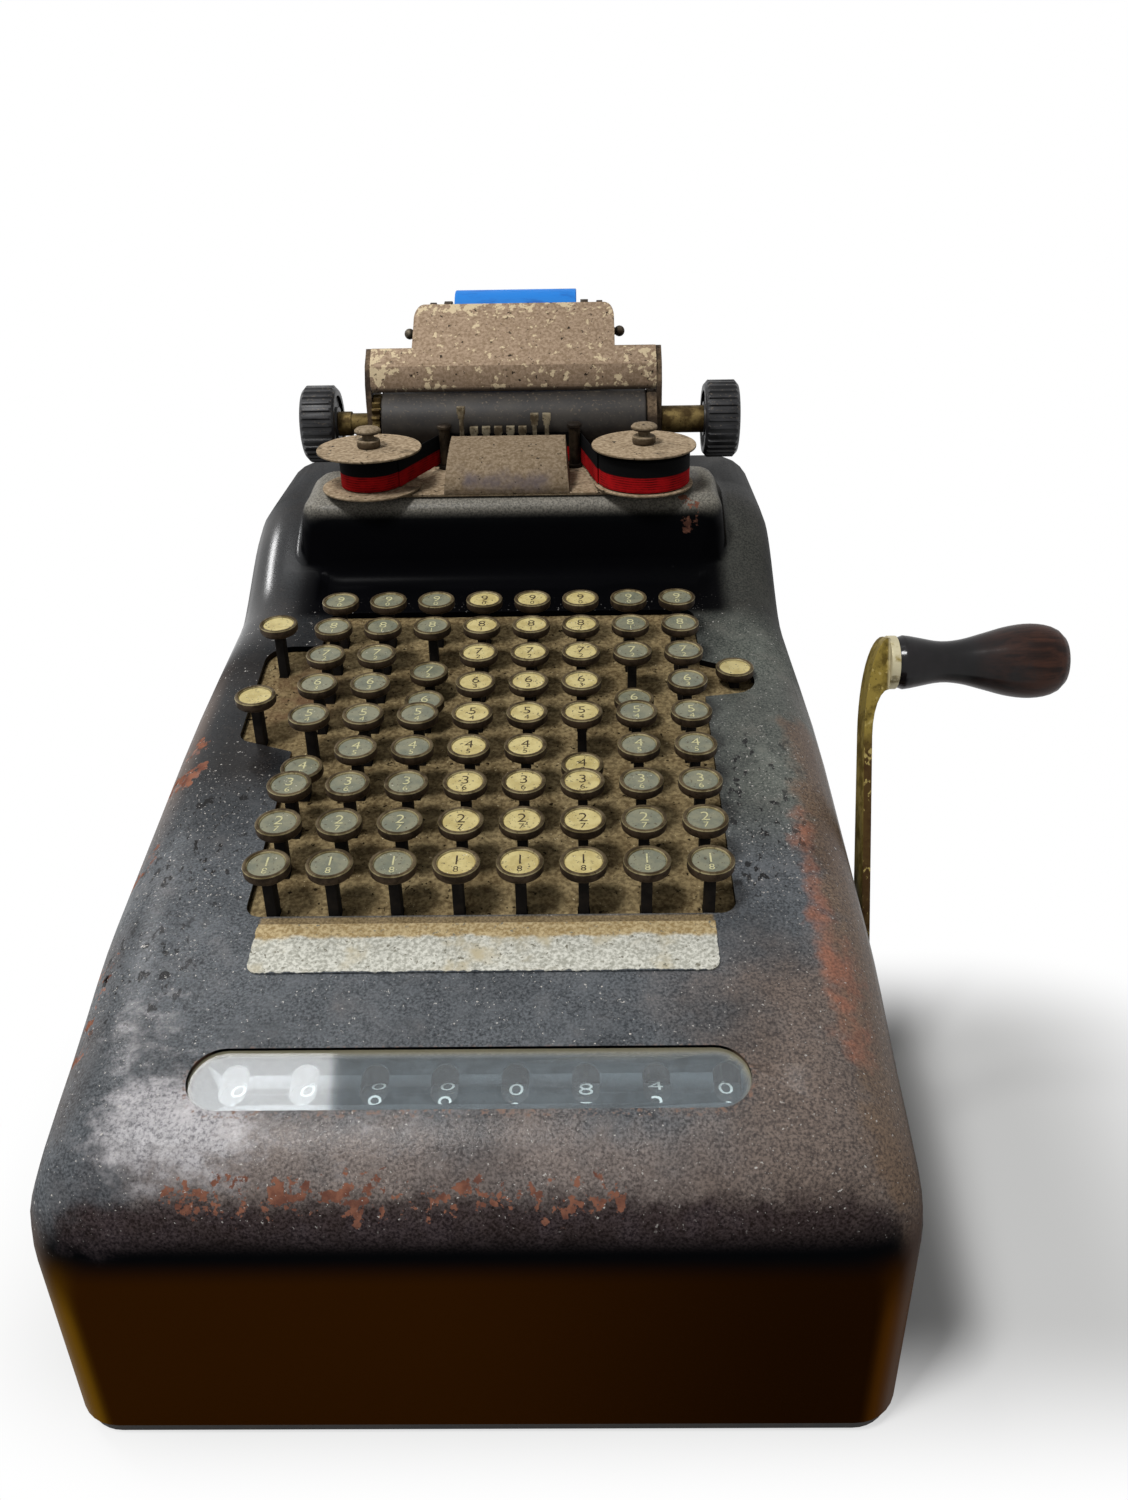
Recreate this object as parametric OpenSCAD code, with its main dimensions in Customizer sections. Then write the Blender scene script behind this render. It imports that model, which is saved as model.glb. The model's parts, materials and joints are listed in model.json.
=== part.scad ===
// Adding machine with a full keyboard, a printing head on the rear deck and a crank on the right.
// Millimetres. X runs to the right, Y to the back and Z up. The origin is the middle of the base.

/* [Casing] */
// Width of the casing
casing_w = 240; // [238:1:244]
// Depth of the casing, front wall to rear wall
casing_d = 400; // [398:1:404]
// Thickness of the base plate that the casing stands on
base_t = 5; // [4:0.5:6]
// Height at which the front wall turns into the nose
nose_z = 78; // [76:1:80]
// Radius of the nose
nose_r = 30; // [28:1:32]
// Radius of the upright corners
corner_r = 14; // [13:0.5:15]
// Radius of the long top edges
edge_r = 23; // [21:0.5:24]
// Thickness of the casing's sheet
wall = 2.4; // [2:0.2:2.6]
// Height of the rear deck
rear_z = 176; // [175:1:177]

/* [Hood] */
// Width of the hood at its top
hood_w = 180; // [176:1:182]
// Front face of the hood
hood_front = 86; // [85:0.5:87]
// Rear face of the hood
hood_back = 138; // [137:0.5:139]
// Height of the hood's top
hood_z = 187; // [186:0.5:188]

/* [Keyboard] */
// Number of key columns
columns = 8; // [8:1:8]
// Number of key rows
rows = 9; // [9:1:9]
// Distance between neighbouring keys
key_pitch = 19.05; // [19:0.05:19.1]
// Slope of the keyboard in degrees
deck_slope = 8.8; // [8.6:0.1:9]
// Outer diameter of a key top
key_d = 14.4; // [13.8:0.1:14.6]
// Height of the middle row's key tops above the table
key_z = 150; // [149:0.5:151]
// How far a pressed key goes down
key_drop = 7.5; // [7:0.5:8]
// Length of a key from its top to the end of its stem
key_l = 52; // [50:1:52]

/* [Register] */
// Length of the dial window
window_l = 152; // [148:1:154]
// Height of the dial window along the slope
window_h = 19; // [18:0.5:19.5]
// Radius of a number wheel
wheel_r = 14; // [13:0.5:14]

/* [Printing head] */
// Distance of a ribbon spool from the head's middle
spool_x = 58; // [57:0.5:59]
// Radius of a spool flange
flange_r = 22; // [21:0.5:22]
// Radius of the platen
platen_r = 15; // [14.5:0.1:15]
// Radius of a platen knob
knob_r = 17; // [16:0.2:18]
// Width of the paper on the roll
paper_w = 57; // [55:1:58]
// Radius of the paper roll
paper_r = 13.3; // [12:0.1:14]

/* [Crank] */
// Distance from the crank's axis to the middle of its grip
crank_l = 115; // [112:1:118]
// Angle that the crank leans back in degrees
crank_lean = 22; // [20:1:24]
// Length of the grip
grip_l = 58; // [56:1:60]

/* [Hidden] */
$fn = 48;

// Clearances: between bodies that move past each other, and round a running shaft
gap = 0.3;
run = 0.05;

// Casing outline
half_w = casing_w / 2;
waist = 5;
nose_edge_r = edge_r + 5;
hood_edge_r = edge_r - 5;
rear_r = 12;
front_y = -casing_d / 2;
back_y = casing_d / 2;
nose_slope = 16;
nose_y = front_y + nose_r;
nose_end_y = nose_y - nose_r * sin(nose_slope);
nose_end_z = nose_z + nose_r * cos(nose_slope);
ease_y = -115;
ease_l = ease_y - nose_end_y;
rise_y = 62;
crest_y = 130;
hood_half = hood_w / 2;
hood_x = 1.5;
hood_corner_r = 10;
hood_fillet_r = 14;
hood_top_r = 9;
hood_back_r = 5;
hood_lean = 1.5;
hood_taper = 2;
hood_foot_r = 3.5;

// Keyboard places
key_x = 1.5;
key_y = -34;
row_dy = key_pitch * cos(deck_slope);
row_dz = key_pitch * sin(deck_slope);
key_tilt = 4;
stem_w = 3.2;
stem_d = 5.5;
plate_drop = wall + gap;
plate_t = 1.5;
guide_drop = 26;
latched = [[3, 7], [3, 6], [7, 6], [6, 4], [1, 4]];
total_at = [-85.9, 21.3, 160.6];
sub_total_at = [-85.9, -23.5, 152.3];
repeat_at = [88.5, 11, 145];
frame_x = 75.5;
frame_t = 3;

// Register places
window_x = -1.5;
window_y = -169.4;
wheel_y = -170;
wheel_z = 87;
wheel_w = 9;
glass_drop = 1.4;
glass_t = 3;
mask_t = 0.8;

// Printing head places
head_x = -0.5;
spool_y = 102;
plate_top = hood_z + 1.4;
spool_bottom = plate_top + gap + 0.1;
spool_top = 206;
flange_t = 1;
left_pack_r = 13;
right_pack_r = 19.5;
ribbon_h = 12.7;
ribbon_t = 0.4;
ribbon_z = spool_bottom + flange_t + 0.6;
post_x = 28.75;
post_y = 130.4;
post_r = 2.5;
type_x = -21.4;
type_pitch = 5.36;
type_y = 129.5;
carriage_x = 1.2;
platen_y = 150;
platen_z = 204;
platen_half = 59;
shaft_r = 4;
left_knob_x = -94.3;
right_knob_x = 86.7;
knob_l = 15.3;
cheek_x = 63.8;
cheek_t = 2.5;
feed_y = 153;
feed_z = 183.2;
feed_r = 5;
roll_y = 200;
roll_z = 240;
arm_x = 35;
arm_t = 2.5;
table_path = [[146, 221], [148, 229], [178, 250]];
table_t = 1.2;
table_step_z = 235.6;
table_half = 45.5;
rod_y = 172;
rod_z = 239;

// Crank places
crank_y = -68;
crank_z = 56;
crank_shaft_r = 6;
arm_bar_x = half_w + 7.6;
arm_bar_t = 2.8;
arm_w = [15, 11];
ferrule_x = half_w + 16;
ferrule_r = 9.3;
ferrule_l = 3;
hub_end = arm_bar_x + arm_bar_t;

// Half width of the plan and radius of the long edges: the casing draws in beside the hood
function ramp(y, a, b) = let (t = max(0, min(1, (y - a) / (b - a)))) t * t * (3 - 2 * t);
function half_at(y) = half_w - waist * ramp(y, -20, 75);
function edge_at(y) =
    nose_edge_r - (nose_edge_r - edge_r) * ramp(y, -155, -105) - (edge_r - hood_edge_r) * ramp(y, -20, 60);

// Height of the deck on its middle line, set in by off
function ease_z(y) =
    let (t = y - nose_end_y, bend = tan(nose_slope) - tan(deck_slope))
    nose_end_z + t * tan(nose_slope) - t * t * bend / (2 * ease_l);
function ease_slope(y) =
    atan(tan(nose_slope) - (y - nose_end_y) * (tan(nose_slope) - tan(deck_slope)) / ease_l);
function deck_z(y) = y < ease_y ? ease_z(y) : ease_z(ease_y) + (y - ease_y) * tan(deck_slope);

// Height of the shoulders beside the hood: the deck, an S-curve, the rear deck and the rear edge
function shoulder_rise(t) =
    let (run_l = crest_y - rise_y, s = t * t * (3 - 2 * t))
    deck_z(rise_y) * (1 - s) + rear_z * s + run_l * tan(deck_slope) * t * (1 - t) * (1 - t);
function shoulder_z(y, off) =
    y < nose_end_y ? nose_z + sqrt(max(0, pow(nose_r - off, 2) - pow(y - nose_y, 2)))
    : y < rise_y ? deck_z(y) - 1.03 * off
    : y < crest_y ? shoulder_rise((y - rise_y) / (crest_y - rise_y)) - 1.06 * off
    : y < back_y - rear_r ? rear_z - off
    : rear_z - rear_r + sqrt(max(0, pow(rear_r - off, 2) - pow(y - back_y + rear_r, 2)));

// Half width at y of a plan with round corners between lo and hi
function plan_half(y, lo, hi, half, r, off) =
    half - r + (y < lo + r ? sqrt(max(0, pow(r - off, 2) - pow(lo + r - y, 2)))
        : y > hi - r ? sqrt(max(0, pow(r - off, 2) - pow(y - hi + r, 2)))
        : r - off);

// Stations [y, middle height] along the casing, with the hood's front and rear faces as arcs
function nose_stations(off, n) = [
    for (i = [0 : n])
        let (a = i * (90 - nose_slope) / n)
        [nose_y - (nose_r - off) * cos(a), nose_z + (nose_r - off) * sin(a)]
];
function deck_stations(off, list) = [for (y = list) [y, shoulder_z(y, off)]];
fillet_foot_y = hood_front - hood_fillet_r * (1 - sin(deck_slope));
fillet_z = deck_z(fillet_foot_y) + hood_fillet_r * cos(deck_slope);
function hood_front_stations(off, n) = concat(
    [for (i = [0 : n])
        let (a = deck_slope + i * (84 - deck_slope) / n, r = hood_fillet_r + off)
        [hood_front - hood_fillet_r + r * sin(a), fillet_z - r * cos(a)]],
    [for (i = [0 : n])
        let (b = 6 + i * 84 / n, r = hood_top_r - off)
        [hood_front + hood_lean + hood_top_r - r * cos(b), hood_z - hood_top_r + r * sin(b)]]
);
function hood_back_stations(off, n) = concat(
    [for (i = [0 : n])
        let (b = i * 80 / n, r = hood_back_r - off)
        [hood_back - hood_back_r + r * sin(b), hood_z - hood_back_r + r * cos(b)]],
    [for (i = [0 : n])
        let (u = 80 - i * 80 / n, r = hood_back_r + off)
        [hood_back + hood_back_r - r * sin(u), rear_z + hood_back_r - r * cos(u)]]
);
function rear_stations(off, n) = [
    for (i = [0 : n])
        let (a = i * 90 / n)
        [back_y - rear_r + (rear_r - off) * sin(a), rear_z - rear_r + (rear_r - off) * cos(a)]
];
function stations(off, n) = concat(
    nose_stations(off, 2 * n),
    deck_stations(off, [-166, -152, -138, -126, ease_y, -105, -20, 4, 28, 46, rise_y, 68]),
    hood_front_stations(off, n),
    [for (y = [102, 108, 114, 120, 126]) [y, hood_z - off]],
    hood_back_stations(off, ceil(n / 2)),
    rear_stations(off, n)
);

// One cross-section, left foot over the top to right foot: edge, shoulder, hood foot and hood top
function half_section(y, zc, off, n, side) =
    let (
        w = plan_half(y, front_y, back_y, half_at(y), corner_r, off),
        r = edge_at(y) - off,
        h = min(plan_half(y, hood_front, hood_back, hood_half, hood_corner_r, off) + side * hood_x,
                w - r - hood_taper - hood_foot_r - 0.5),
        zs = y > rise_y && y < back_y - rear_r ? shoulder_z(y, off) : zc,
        d = zc - zs,
        top_v = sign(d) * min(8, 0.45 * abs(d)),
        foot_v = sign(d) * min(hood_foot_r, 0.45 * abs(d))
    )
    concat(
        [for (i = [0 : n]) let (a = i * 90 / n)
            [h - 8 + 8 * sin(a), zc - top_v * (1 - cos(a))]],
        [for (i = [0 : n - 1]) let (u = i * 90 / (n - 1))
            [h + hood_taper + hood_foot_r * (1 - cos(u)), zs + foot_v * (1 - sin(u))]],
        [for (i = [0 : n + 1]) let (a = i * 90 / (n + 1))
            [w - r + r * sin(a), zs - r * (1 - cos(a))]],
        [[w, off > 0 ? base_t - 1 : base_t]]
    );
function section(y, zc, off, n) =
    let (left = half_section(y, zc, off, n, -1), right = half_section(y, zc, off, n, 1))
    concat(
        [for (i = [len(left) - 1 : -1 : 0]) [-left[i][0], y, left[i][1]]],
        [for (p = right) [p[0], y, p[1]]]
    );

// Solid through a list of sections that all have the same number of points
module loft(sections) {
    n = len(sections[0]);
    m = len(sections);
    points = [for (s = sections) each s];
    sides = [
        for (i = [0 : m - 2], j = [0 : n - 1])
            let (a = i * n + j, b = i * n + (j + 1) % n)
            each [[a, a + n, b + n], [a, b + n, b]]
    ];
    first = [for (j = [0 : n - 1]) j];
    last = [for (j = [n - 1 : -1 : 0]) (m - 1) * n + j];
    polyhedron(points, concat(sides, [first, last]));
}
module casing_form(off, n) {
    loft([for (s = stations(off, n)) section(s[0], s[1], off, n)]);
}

// Band of thickness t on the left of a path of points
function unit(v) = v / norm(v);
function path_normal(p, i) =
    let (
        a = unit(p[min(i + 1, len(p) - 1)] - p[min(i, len(p) - 2)]),
        b = unit(p[max(i, 1)] - p[max(i - 1, 0)]),
        m = unit(a + b)
    )
    [-m[1], m[0]] / max(0.5, m * a);
function band(p, t) = concat(p, [for (i = [len(p) - 1 : -1 : 0]) p[i] + t * path_normal(p, i)]);

// Smooth value at x through knots [x, value]
function knot(k, i) = k[max(0, min(len(k) - 1, i))];
function smooth_at(k, x, i = 0) =
    i < len(k) - 2 && x > k[i + 1][0] ? smooth_at(k, x, i + 1)
    : let (
        a = knot(k, i - 1), b = k[i], c = k[i + 1], d = knot(k, i + 2),
        w = c[0] - b[0],
        t = (x - b[0]) / w,
        sb = (c[1] - a[1]) / (c[0] - a[0]),
        sc = (d[1] - b[1]) / (d[0] - b[0]),
        s = t * t * (3 - 2 * t)
    )
    b[1] * (1 - s) + c[1] * s + w * (sb * t * (1 - t) * (1 - t) - sc * t * t * (1 - t));

// Placing helpers
module along_x(x, t) {
    translate([x, 0, 0]) rotate([90, 0, 90]) linear_extrude(t) children();
}
module rod_x(x0, x1, y, z, r) {
    translate([x0, y, z]) rotate([0, 90, 0]) cylinder(h = x1 - x0, r = r);
}
module on_keyboard() {
    translate([key_x, key_y, deck_z(key_y)]) rotate([deck_slope, 0, 0]) children();
}
module on_window() {
    translate([window_x, window_y, deck_z(window_y)]) rotate([ease_slope(window_y), 0, 0]) children();
}
module pill(places, grow) {
    hull() for (p = places) translate([p[0], p[1]]) circle(r = p[2] + grow, $fn = 32);
}

// Keyboard opening: the field of keys and the two tabs of the keys at its sides
function along_slope(y) = (y - key_y) / cos(deck_slope);
module keyboard_outline(grow) {
    pill([for (x = [-70, 70], y = [-108, 55.5]) [x, along_slope(y), 5]], grow);
    pill([[-86, along_slope(26), 10], [-90.5, along_slope(-21), 5],
          [-70, along_slope(-28.5), 5], [-70, along_slope(31), 5]], grow);
    pill([[86, along_slope(9), 8.5], [70, along_slope(20), 5], [70, along_slope(3), 5]], grow);
}
module window_outline(grow) {
    end = (window_l - window_h) / 2;
    pill([[-end, 0, window_h / 2], [end, 0, window_h / 2]], grow);
}
module type_well() {
    translate([head_x, 0, rear_z - 8]) linear_extrude(hood_z - rear_z + 13)
        pill([for (x = [-24, 24], y = [101, 142]) [x, y, 4]], 0);
}
module corner_lug(sx, sy) {
    y = sy * (back_y - corner_r);
    at = [sx * (half_at(y) - corner_r), y, base_t];
    hull() {
        translate(at) cylinder(h = 20, r = 6, $fn = 24);
        translate(at + [sx * 7.5, sy * 7.5, 0]) cylinder(h = 20, r = 2, $fn = 16);
    }
}
module main_casing() {
    color("#1b1c20") difference() {
        union() {
            difference() {
                casing_form(0, 5);
                casing_form(wall, 3);
            }
            for (sx = [-1, 1], sy = [-1, 1]) corner_lug(sx, sy);
        }
        on_keyboard() translate([0, 0, -20]) linear_extrude(40) keyboard_outline(0);
        on_window() translate([0, 0, -9]) {
            linear_extrude(18) window_outline(0);
            linear_extrude(9.05 - glass_drop) window_outline(3 + gap);
        }
        type_well();
        rod_x(half_w - 10, half_w + 10, crank_y, crank_z, 9 + gap);
    }
}
module base_plate() {
    inset = 1.5;
    r = corner_r - inset;
    ys = concat(
        [for (a = [0 : 10 : 90]) front_y + corner_r - r * cos(a)],
        [-20, 4, 28, 46, 60, 75],
        [for (a = [90 : -10 : 0]) back_y - corner_r + r * cos(a)]
    );
    side = [for (y = ys) [plan_half(y, front_y, back_y, half_at(y), corner_r, inset), y]];
    color("#1a1614") linear_extrude(base_t)
        polygon(concat(side, [for (i = [len(side) - 1 : -1 : 0]) [-side[i][0], side[i][1]]]));
}

// Keys
function column_dx(c) = (c - (columns + 1) / 2) * key_pitch;
function column_x(c) = key_x + column_dx(c);
function row_y(r) = key_y + (r - (rows + 1) / 2) * row_dy;
function row_z(r) = key_z + (r - (rows + 1) / 2) * row_dz;
function is_latched(c, r) = len([for (k = latched) if (k == [c, r]) 1]) > 0;
module key(at) {
    rim = key_d / 2;
    translate(at) {
        rotate([key_tilt, 0, 0]) rotate_extrude() polygon([
            [0, -1], [rim - 1.3, -1], [rim - 1.1, -0.2], [rim - 0.8, 0], [rim - 0.3, 0],
            [rim, -0.3], [rim, -2.4], [rim - 0.3, -3.3], [rim - 1.1, -3.9], [2.4, -4.5], [0, -4.5]
        ]);
        translate([-stem_w / 2, -stem_d / 2, -key_l]) cube([stem_w, stem_d, key_l - 3]);
    }
}
module key_slot(at) {
    w = stem_w + 2 * gap;
    d = stem_d + 2 * gap;
    translate([at[0] - w / 2, at[1] - d / 2, at[2] - 70]) cube([w, d, 68]);
}
module key_slots() {
    for (c = [1 : columns], r = [1 : rows]) key_slot([column_x(c), row_y(r), row_z(r)]);
}
module key_row(r) {
    color("#3d372e") for (c = [1 : columns])
        if (!is_latched(c, r)) key([column_x(c), row_y(r), row_z(r)]);
}
module latched_key(i) {
    k = latched[i];
    color("#3d372e") key([column_x(k[0]), row_y(k[1]), row_z(k[1]) - key_drop]);
}
module total_key() {
    color("#8d835f") key(total_at);
}
module sub_total_key() {
    color("#8d835f") key(sub_total_at);
}
module repeat_key() {
    color("#8d835f") key(repeat_at);
}
module key_plate() {
    color("#8a7a62") difference() {
        on_keyboard() translate([0, 0, -plate_drop - plate_t])
            linear_extrude(plate_t) keyboard_outline(2.5);
        key_slots();
        for (at = [total_at, sub_total_at, repeat_at]) key_slot(at);
    }
}
module key_guide_plate() {
    length = along_slope(row_y(rows) + 12) - along_slope(row_y(1) - 12);
    color("#6f6a60") difference() {
        on_keyboard() translate([-frame_x, -length / 2, -guide_drop - plate_t])
            cube([2 * frame_x, length, plate_t]);
        key_slots();
    }
}
module instruction_plate() {
    y = -126;
    half = 69;
    color("#8f9290") translate([0.5, y, deck_z(y) - 0.15]) rotate([ease_slope(y), 0, 0])
        linear_extrude(0.6) {
            translate([-half, -5.6]) square([2 * half, 15.2]);
            translate([-half + 4, -9.6]) square([2 * half - 8, 4]);
            for (s = [-1, 1]) translate([s * (half - 4), -5.6]) circle(r = 4);
        }
}

// Register
module window_glass() {
    color("#aeb6b8", 0.5) on_window() translate([0, 0, -glass_drop - glass_t])
        linear_extrude(glass_t) window_outline(3);
}
module dial_mask() {
    color("#4a4d50") on_window() translate([0, 0, -glass_drop - glass_t - mask_t])
        linear_extrude(mask_t) difference() {
            square([window_l + 10, 27], center = true);
            for (c = [1 : columns]) translate([column_x(c) - window_x, 0]) {
                square([7.5, 5], center = true);
                for (s = [-1, 1]) translate([0, s * 2.5]) circle(r = 3.75);
            }
        }
}
module number_wheel(c) {
    color("#101012") translate([column_x(c) - wheel_w / 2, wheel_y, wheel_z]) rotate([0, 90, 0]) {
        rotate_extrude() polygon([
            [3 + run, 0], [6, 0], [6, 3], [wheel_r - 3, 3], [wheel_r - 3, 0], [wheel_r - 0.4, 0],
            [wheel_r, 0.4], [wheel_r, wheel_w - 0.4], [wheel_r - 0.4, wheel_w],
            [wheel_r - 3, wheel_w], [wheel_r - 3, 6], [6, 6], [6, wheel_w + 0.5],
            [3 + run, wheel_w + 0.5]
        ]);
        translate([0, 0, wheel_w + 0.5]) linear_extrude(2) difference() {
            pinion(20, 7.5, 9);
            circle(r = 3 + run);
        }
    }
}
module pinion(teeth, root, tip) {
    step = 360 / teeth;
    polygon([
        for (i = [0 : teeth - 1], q = [[-0.3, root], [-0.15, tip], [0.15, tip], [0.3, root]])
            q[1] * [cos((i + q[0]) * step), sin((i + q[0]) * step)]
    ]);
}

// Frames inside the casing
function under_mask_z(y) =
    deck_z(window_y) + (y - window_y) * tan(ease_slope(window_y))
    - (glass_drop + glass_t + mask_t) / cos(ease_slope(window_y));
function under_plate_z(y) = deck_z(y) - (plate_drop + plate_t) / cos(deck_slope);
module side_frame_outline() {
    polygon([
        [-186, base_t], [-186, 92], [-182, under_mask_z(-182)], [-157, under_mask_z(-157)],
        [-148, 104], [-112, under_plate_z(-112)], [58, under_plate_z(58)], [84, 146], [98, 172],
        [150, 172], [158, 164], [158, base_t]
    ]);
}
module side_frames() {
    color("#5d5a55") {
        along_x(key_x - frame_x - frame_t, frame_t) side_frame_outline();
        difference() {
            along_x(key_x + frame_x, frame_t) side_frame_outline();
            rod_x(key_x + frame_x - 1, key_x + frame_x + frame_t + 1, crank_y, crank_z, crank_shaft_r + run);
        }
    }
}
module frame_rods() {
    color("#77746e") {
        for (at = [[-150, 38], [0, 55], [95, 70], [116, 140]])
            rod_x(key_x - frame_x, key_x + frame_x, at[0], at[1], 4);
        rod_x(key_x - frame_x, key_x + frame_x, wheel_y, wheel_z, 3);
    }
}
module stop_bars() {
    lo = -122;
    hi = 108;
    top = -46;
    notch = 2.2;
    steps = [
        for (r = [1 : rows], q = [[-4, 0], [-4, -notch], [4, -notch], [4, 0]])
            [(r - 5) * key_pitch + q[0] - 7, top + q[1]]
    ];
    outline = concat([[lo, top - 12], [lo, top]], steps, [[hi, top], [hi, top - 12]]);
    color("#6b675f") on_keyboard() for (c = [1 : columns])
        along_x(column_dx(c) - 0.8, 1.6) polygon(outline);
}

// Printing head
module type_bars() {
    lift = [8.8, 0, 0, 0, 0, 0, 5.5, 5.5];
    color("#8d887c") for (i = [0 : 7]) translate([type_x + i * type_pitch, type_y, 0]) {
        top = 207 + lift[i];
        translate([-0.9, -1.2, 122]) cube([1.8, 2.4, top - 123]);
        translate([-1.8, -1.2, top - 3]) cube([3.6, 2.6, 3]);
        translate([-1.4, -1.2, top - 5]) cube([2.8, 2.4, 2.2]);
    }
}
module type_cover() {
    t = 1.2;
    y1 = 122;
    depth = 30;
    rise = 16.5;
    half = [26.5, 24.8];
    color("#8c7a63") translate([head_x, 0, plate_top]) difference() {
        intersection() {
            along_x(-half[0], 2 * half[0])
                polygon(concat([[y1, 0]], [for (a = [0 : 6 : 90])
                    [y1 - depth * cos(a), rise * sin(a)]]));
            translate([0, y1 + 1, 0]) rotate([90, 0, 0]) linear_extrude(depth + 2)
                polygon([[-half[0], 0], [-half[1], rise], [half[1], rise], [half[0], 0]]);
        }
        translate([0, y1 + 1, -1]) rotate([90, 0, 0]) linear_extrude(depth)
            polygon([[t - half[0], 0], [t - half[1], rise], [half[1] - t, rise], [half[0] - t, 0]]);
    }
    color("#8c7a63") translate([head_x, 0, plate_top]) difference() {
        intersection() {
            along_x(t - half[0], 2 * (half[0] - t))
                polygon(band([for (a = [0 : 6 : 90])
                    [y1 - (depth - t) * cos(a), (rise - t) * sin(a)]], t));
            translate([0, y1 + 1, 0]) rotate([90, 0, 0]) linear_extrude(depth + 2)
                polygon([[-half[0], 0], [-half[1], rise], [half[1], rise], [half[0], 0]]);
        }
    }
}
module spool_plate() {
    color("#8f8068") difference() {
        translate([head_x, 0, hood_z]) linear_extrude(plate_top - hood_z) {
            for (s = [-1, 1]) translate([s * spool_x, spool_y + 4]) circle(r = 21);
            translate([-spool_x, 87]) square([2 * spool_x, 40]);
            translate([-36, 100]) square([72, 33]);
        }
        translate([head_x - 25, 123.5, hood_z - 1]) cube([50, 20, 4]);
    }
}
module spool_spindles() {
    color("#6a5f4c") for (s = [-1, 1]) translate([head_x + s * spool_x, spool_y, plate_top]) {
        top = spool_top - plate_top + gap;
        rotate_extrude() polygon([
            [0, 0], [3, 0], [3, top], [4.6, top], [4.9, top + 0.4], [4.9, top + 2.8],
            [4.4, top + 3.2], [2.6, top + 3.4], [2.4, top + 5.4], [5.2, top + 5.8],
            [5.6, top + 6.4], [5.5, top + 7.2], [4.6, top + 7.9], [0, top + 8.3]
        ]);
    }
}
module spool(side, flange) {
    h = spool_top - spool_bottom;
    translate([head_x + side * spool_x, spool_y, spool_bottom]) rotate_extrude() polygon([
        [3 + run, 0], [flange, 0], [flange, flange_t], [7, flange_t], [7, h - flange_t],
        [flange_r, h - flange_t], [flange_r, h], [3 + run, h]
    ]);
}
module left_spool() {
    color("#8f8068") spool(-1, flange_r - 1);
}
module right_spool() {
    color("#8f8068") spool(1, flange_r - 1);
}
module ribbon_pack(side, r) {
    translate([head_x + side * spool_x, spool_y, ribbon_z]) rotate_extrude()
        translate([7 + run, 0]) square([r - 7 - run, ribbon_h]);
}
module left_ribbon() {
    color("#5c1014") ribbon_pack(-1, left_pack_r);
}
module right_ribbon() {
    color("#8e1518") ribbon_pack(1, right_pack_r);
}
module ribbon_posts() {
    color("#3b2c20") for (s = [-1, 1]) translate([head_x + s * post_x, post_y, plate_top])
        rotate_extrude() polygon([
            [0, 0], [3.4, 0], [3.4, 1.4], [post_r, 1.6], [post_r, 17.4], [3.2, 17.8], [3.2, 19],
            [2.6, 19.6], [0, 19.8]
        ]);
}

// Ribbon from the left pack round the rear of both posts to the right pack
function crossing_angle(from, to, r1, r2) =
    let (v = to - from) atan2(v[1], v[0]) - acos((r1 + r2) / norm(v));
function half_ribbon(pack_r) =
    let (
        spool = [-spool_x, spool_y],
        post = [-post_x, post_y],
        r1 = pack_r + gap + ribbon_t,
        r2 = post_r + gap,
        a = crossing_angle(spool, post, r1, r2),
        wrap = 6
    )
    concat(
        [spool + r1 * [cos(a), sin(a)]],
        [for (i = [0 : wrap]) let (b = a + 180 + i * (90 - a - 180) / wrap)
            post + r2 * [cos(b), sin(b)]]
    );
module ribbon_strand() {
    left = half_ribbon(left_pack_r);
    right = half_ribbon(right_pack_r);
    n = len(right);
    path = concat(left, [for (i = [n - 1 : -1 : 0]) [-right[i][0], right[i][1]]]);
    color("#6b1216") translate([head_x, 0, ribbon_z]) linear_extrude(ribbon_h)
        polygon(band(path, ribbon_t));
}

// Platen and its carriage
module cheek_outline() {
    polygon([
        [144, rear_z], [144, 214], [145, 222], [149, 229.6], [157.4, 235.5], [163, 232.5], [176, 208],
        [190, 186], [190, rear_z]
    ]);
}
module cheek(x) {
    difference() {
        along_x(x, cheek_t) cheek_outline();
        rod_x(x - 1, x + cheek_t + 1, platen_y, platen_z, shaft_r + run);
        rod_x(x - 1, x + cheek_t + 1, feed_y, feed_z, 2 + run);
    }
}
module left_carriage_plate() {
    color("#4f4740") cheek(carriage_x - cheek_x - cheek_t);
}
module right_carriage_plate() {
    color("#4f4740") cheek(carriage_x + cheek_x);
}
module platen() {
    color("#35363a") translate([carriage_x - platen_half, platen_y, platen_z]) rotate([0, 90, 0])
        rotate_extrude() polygon([
            [shaft_r + run, 0], [platen_r - 0.6, 0], [platen_r, 0.6],
            [platen_r, 2 * platen_half - 0.6], [platen_r - 0.6, 2 * platen_half],
            [shaft_r + run, 2 * platen_half]
        ]);
}
module platen_shaft() {
    out = cheek_x + cheek_t + gap;
    color("#8a7443") {
        rod_x(left_knob_x + 1, right_knob_x + knob_l - 1, platen_y, platen_z, shaft_r);
        rod_x(carriage_x + out, right_knob_x, platen_y, platen_z, 6);
        rod_x(left_knob_x + knob_l, -73, platen_y, platen_z, 5.4);
        rod_x(-73, carriage_x - out, platen_y, platen_z, 4.6);
        translate([carriage_x - cheek_x + gap, platen_y, platen_z]) rotate([0, 90, 0])
            linear_extrude(3.6) pinion(22, 10.5, 13);
    }
}
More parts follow.
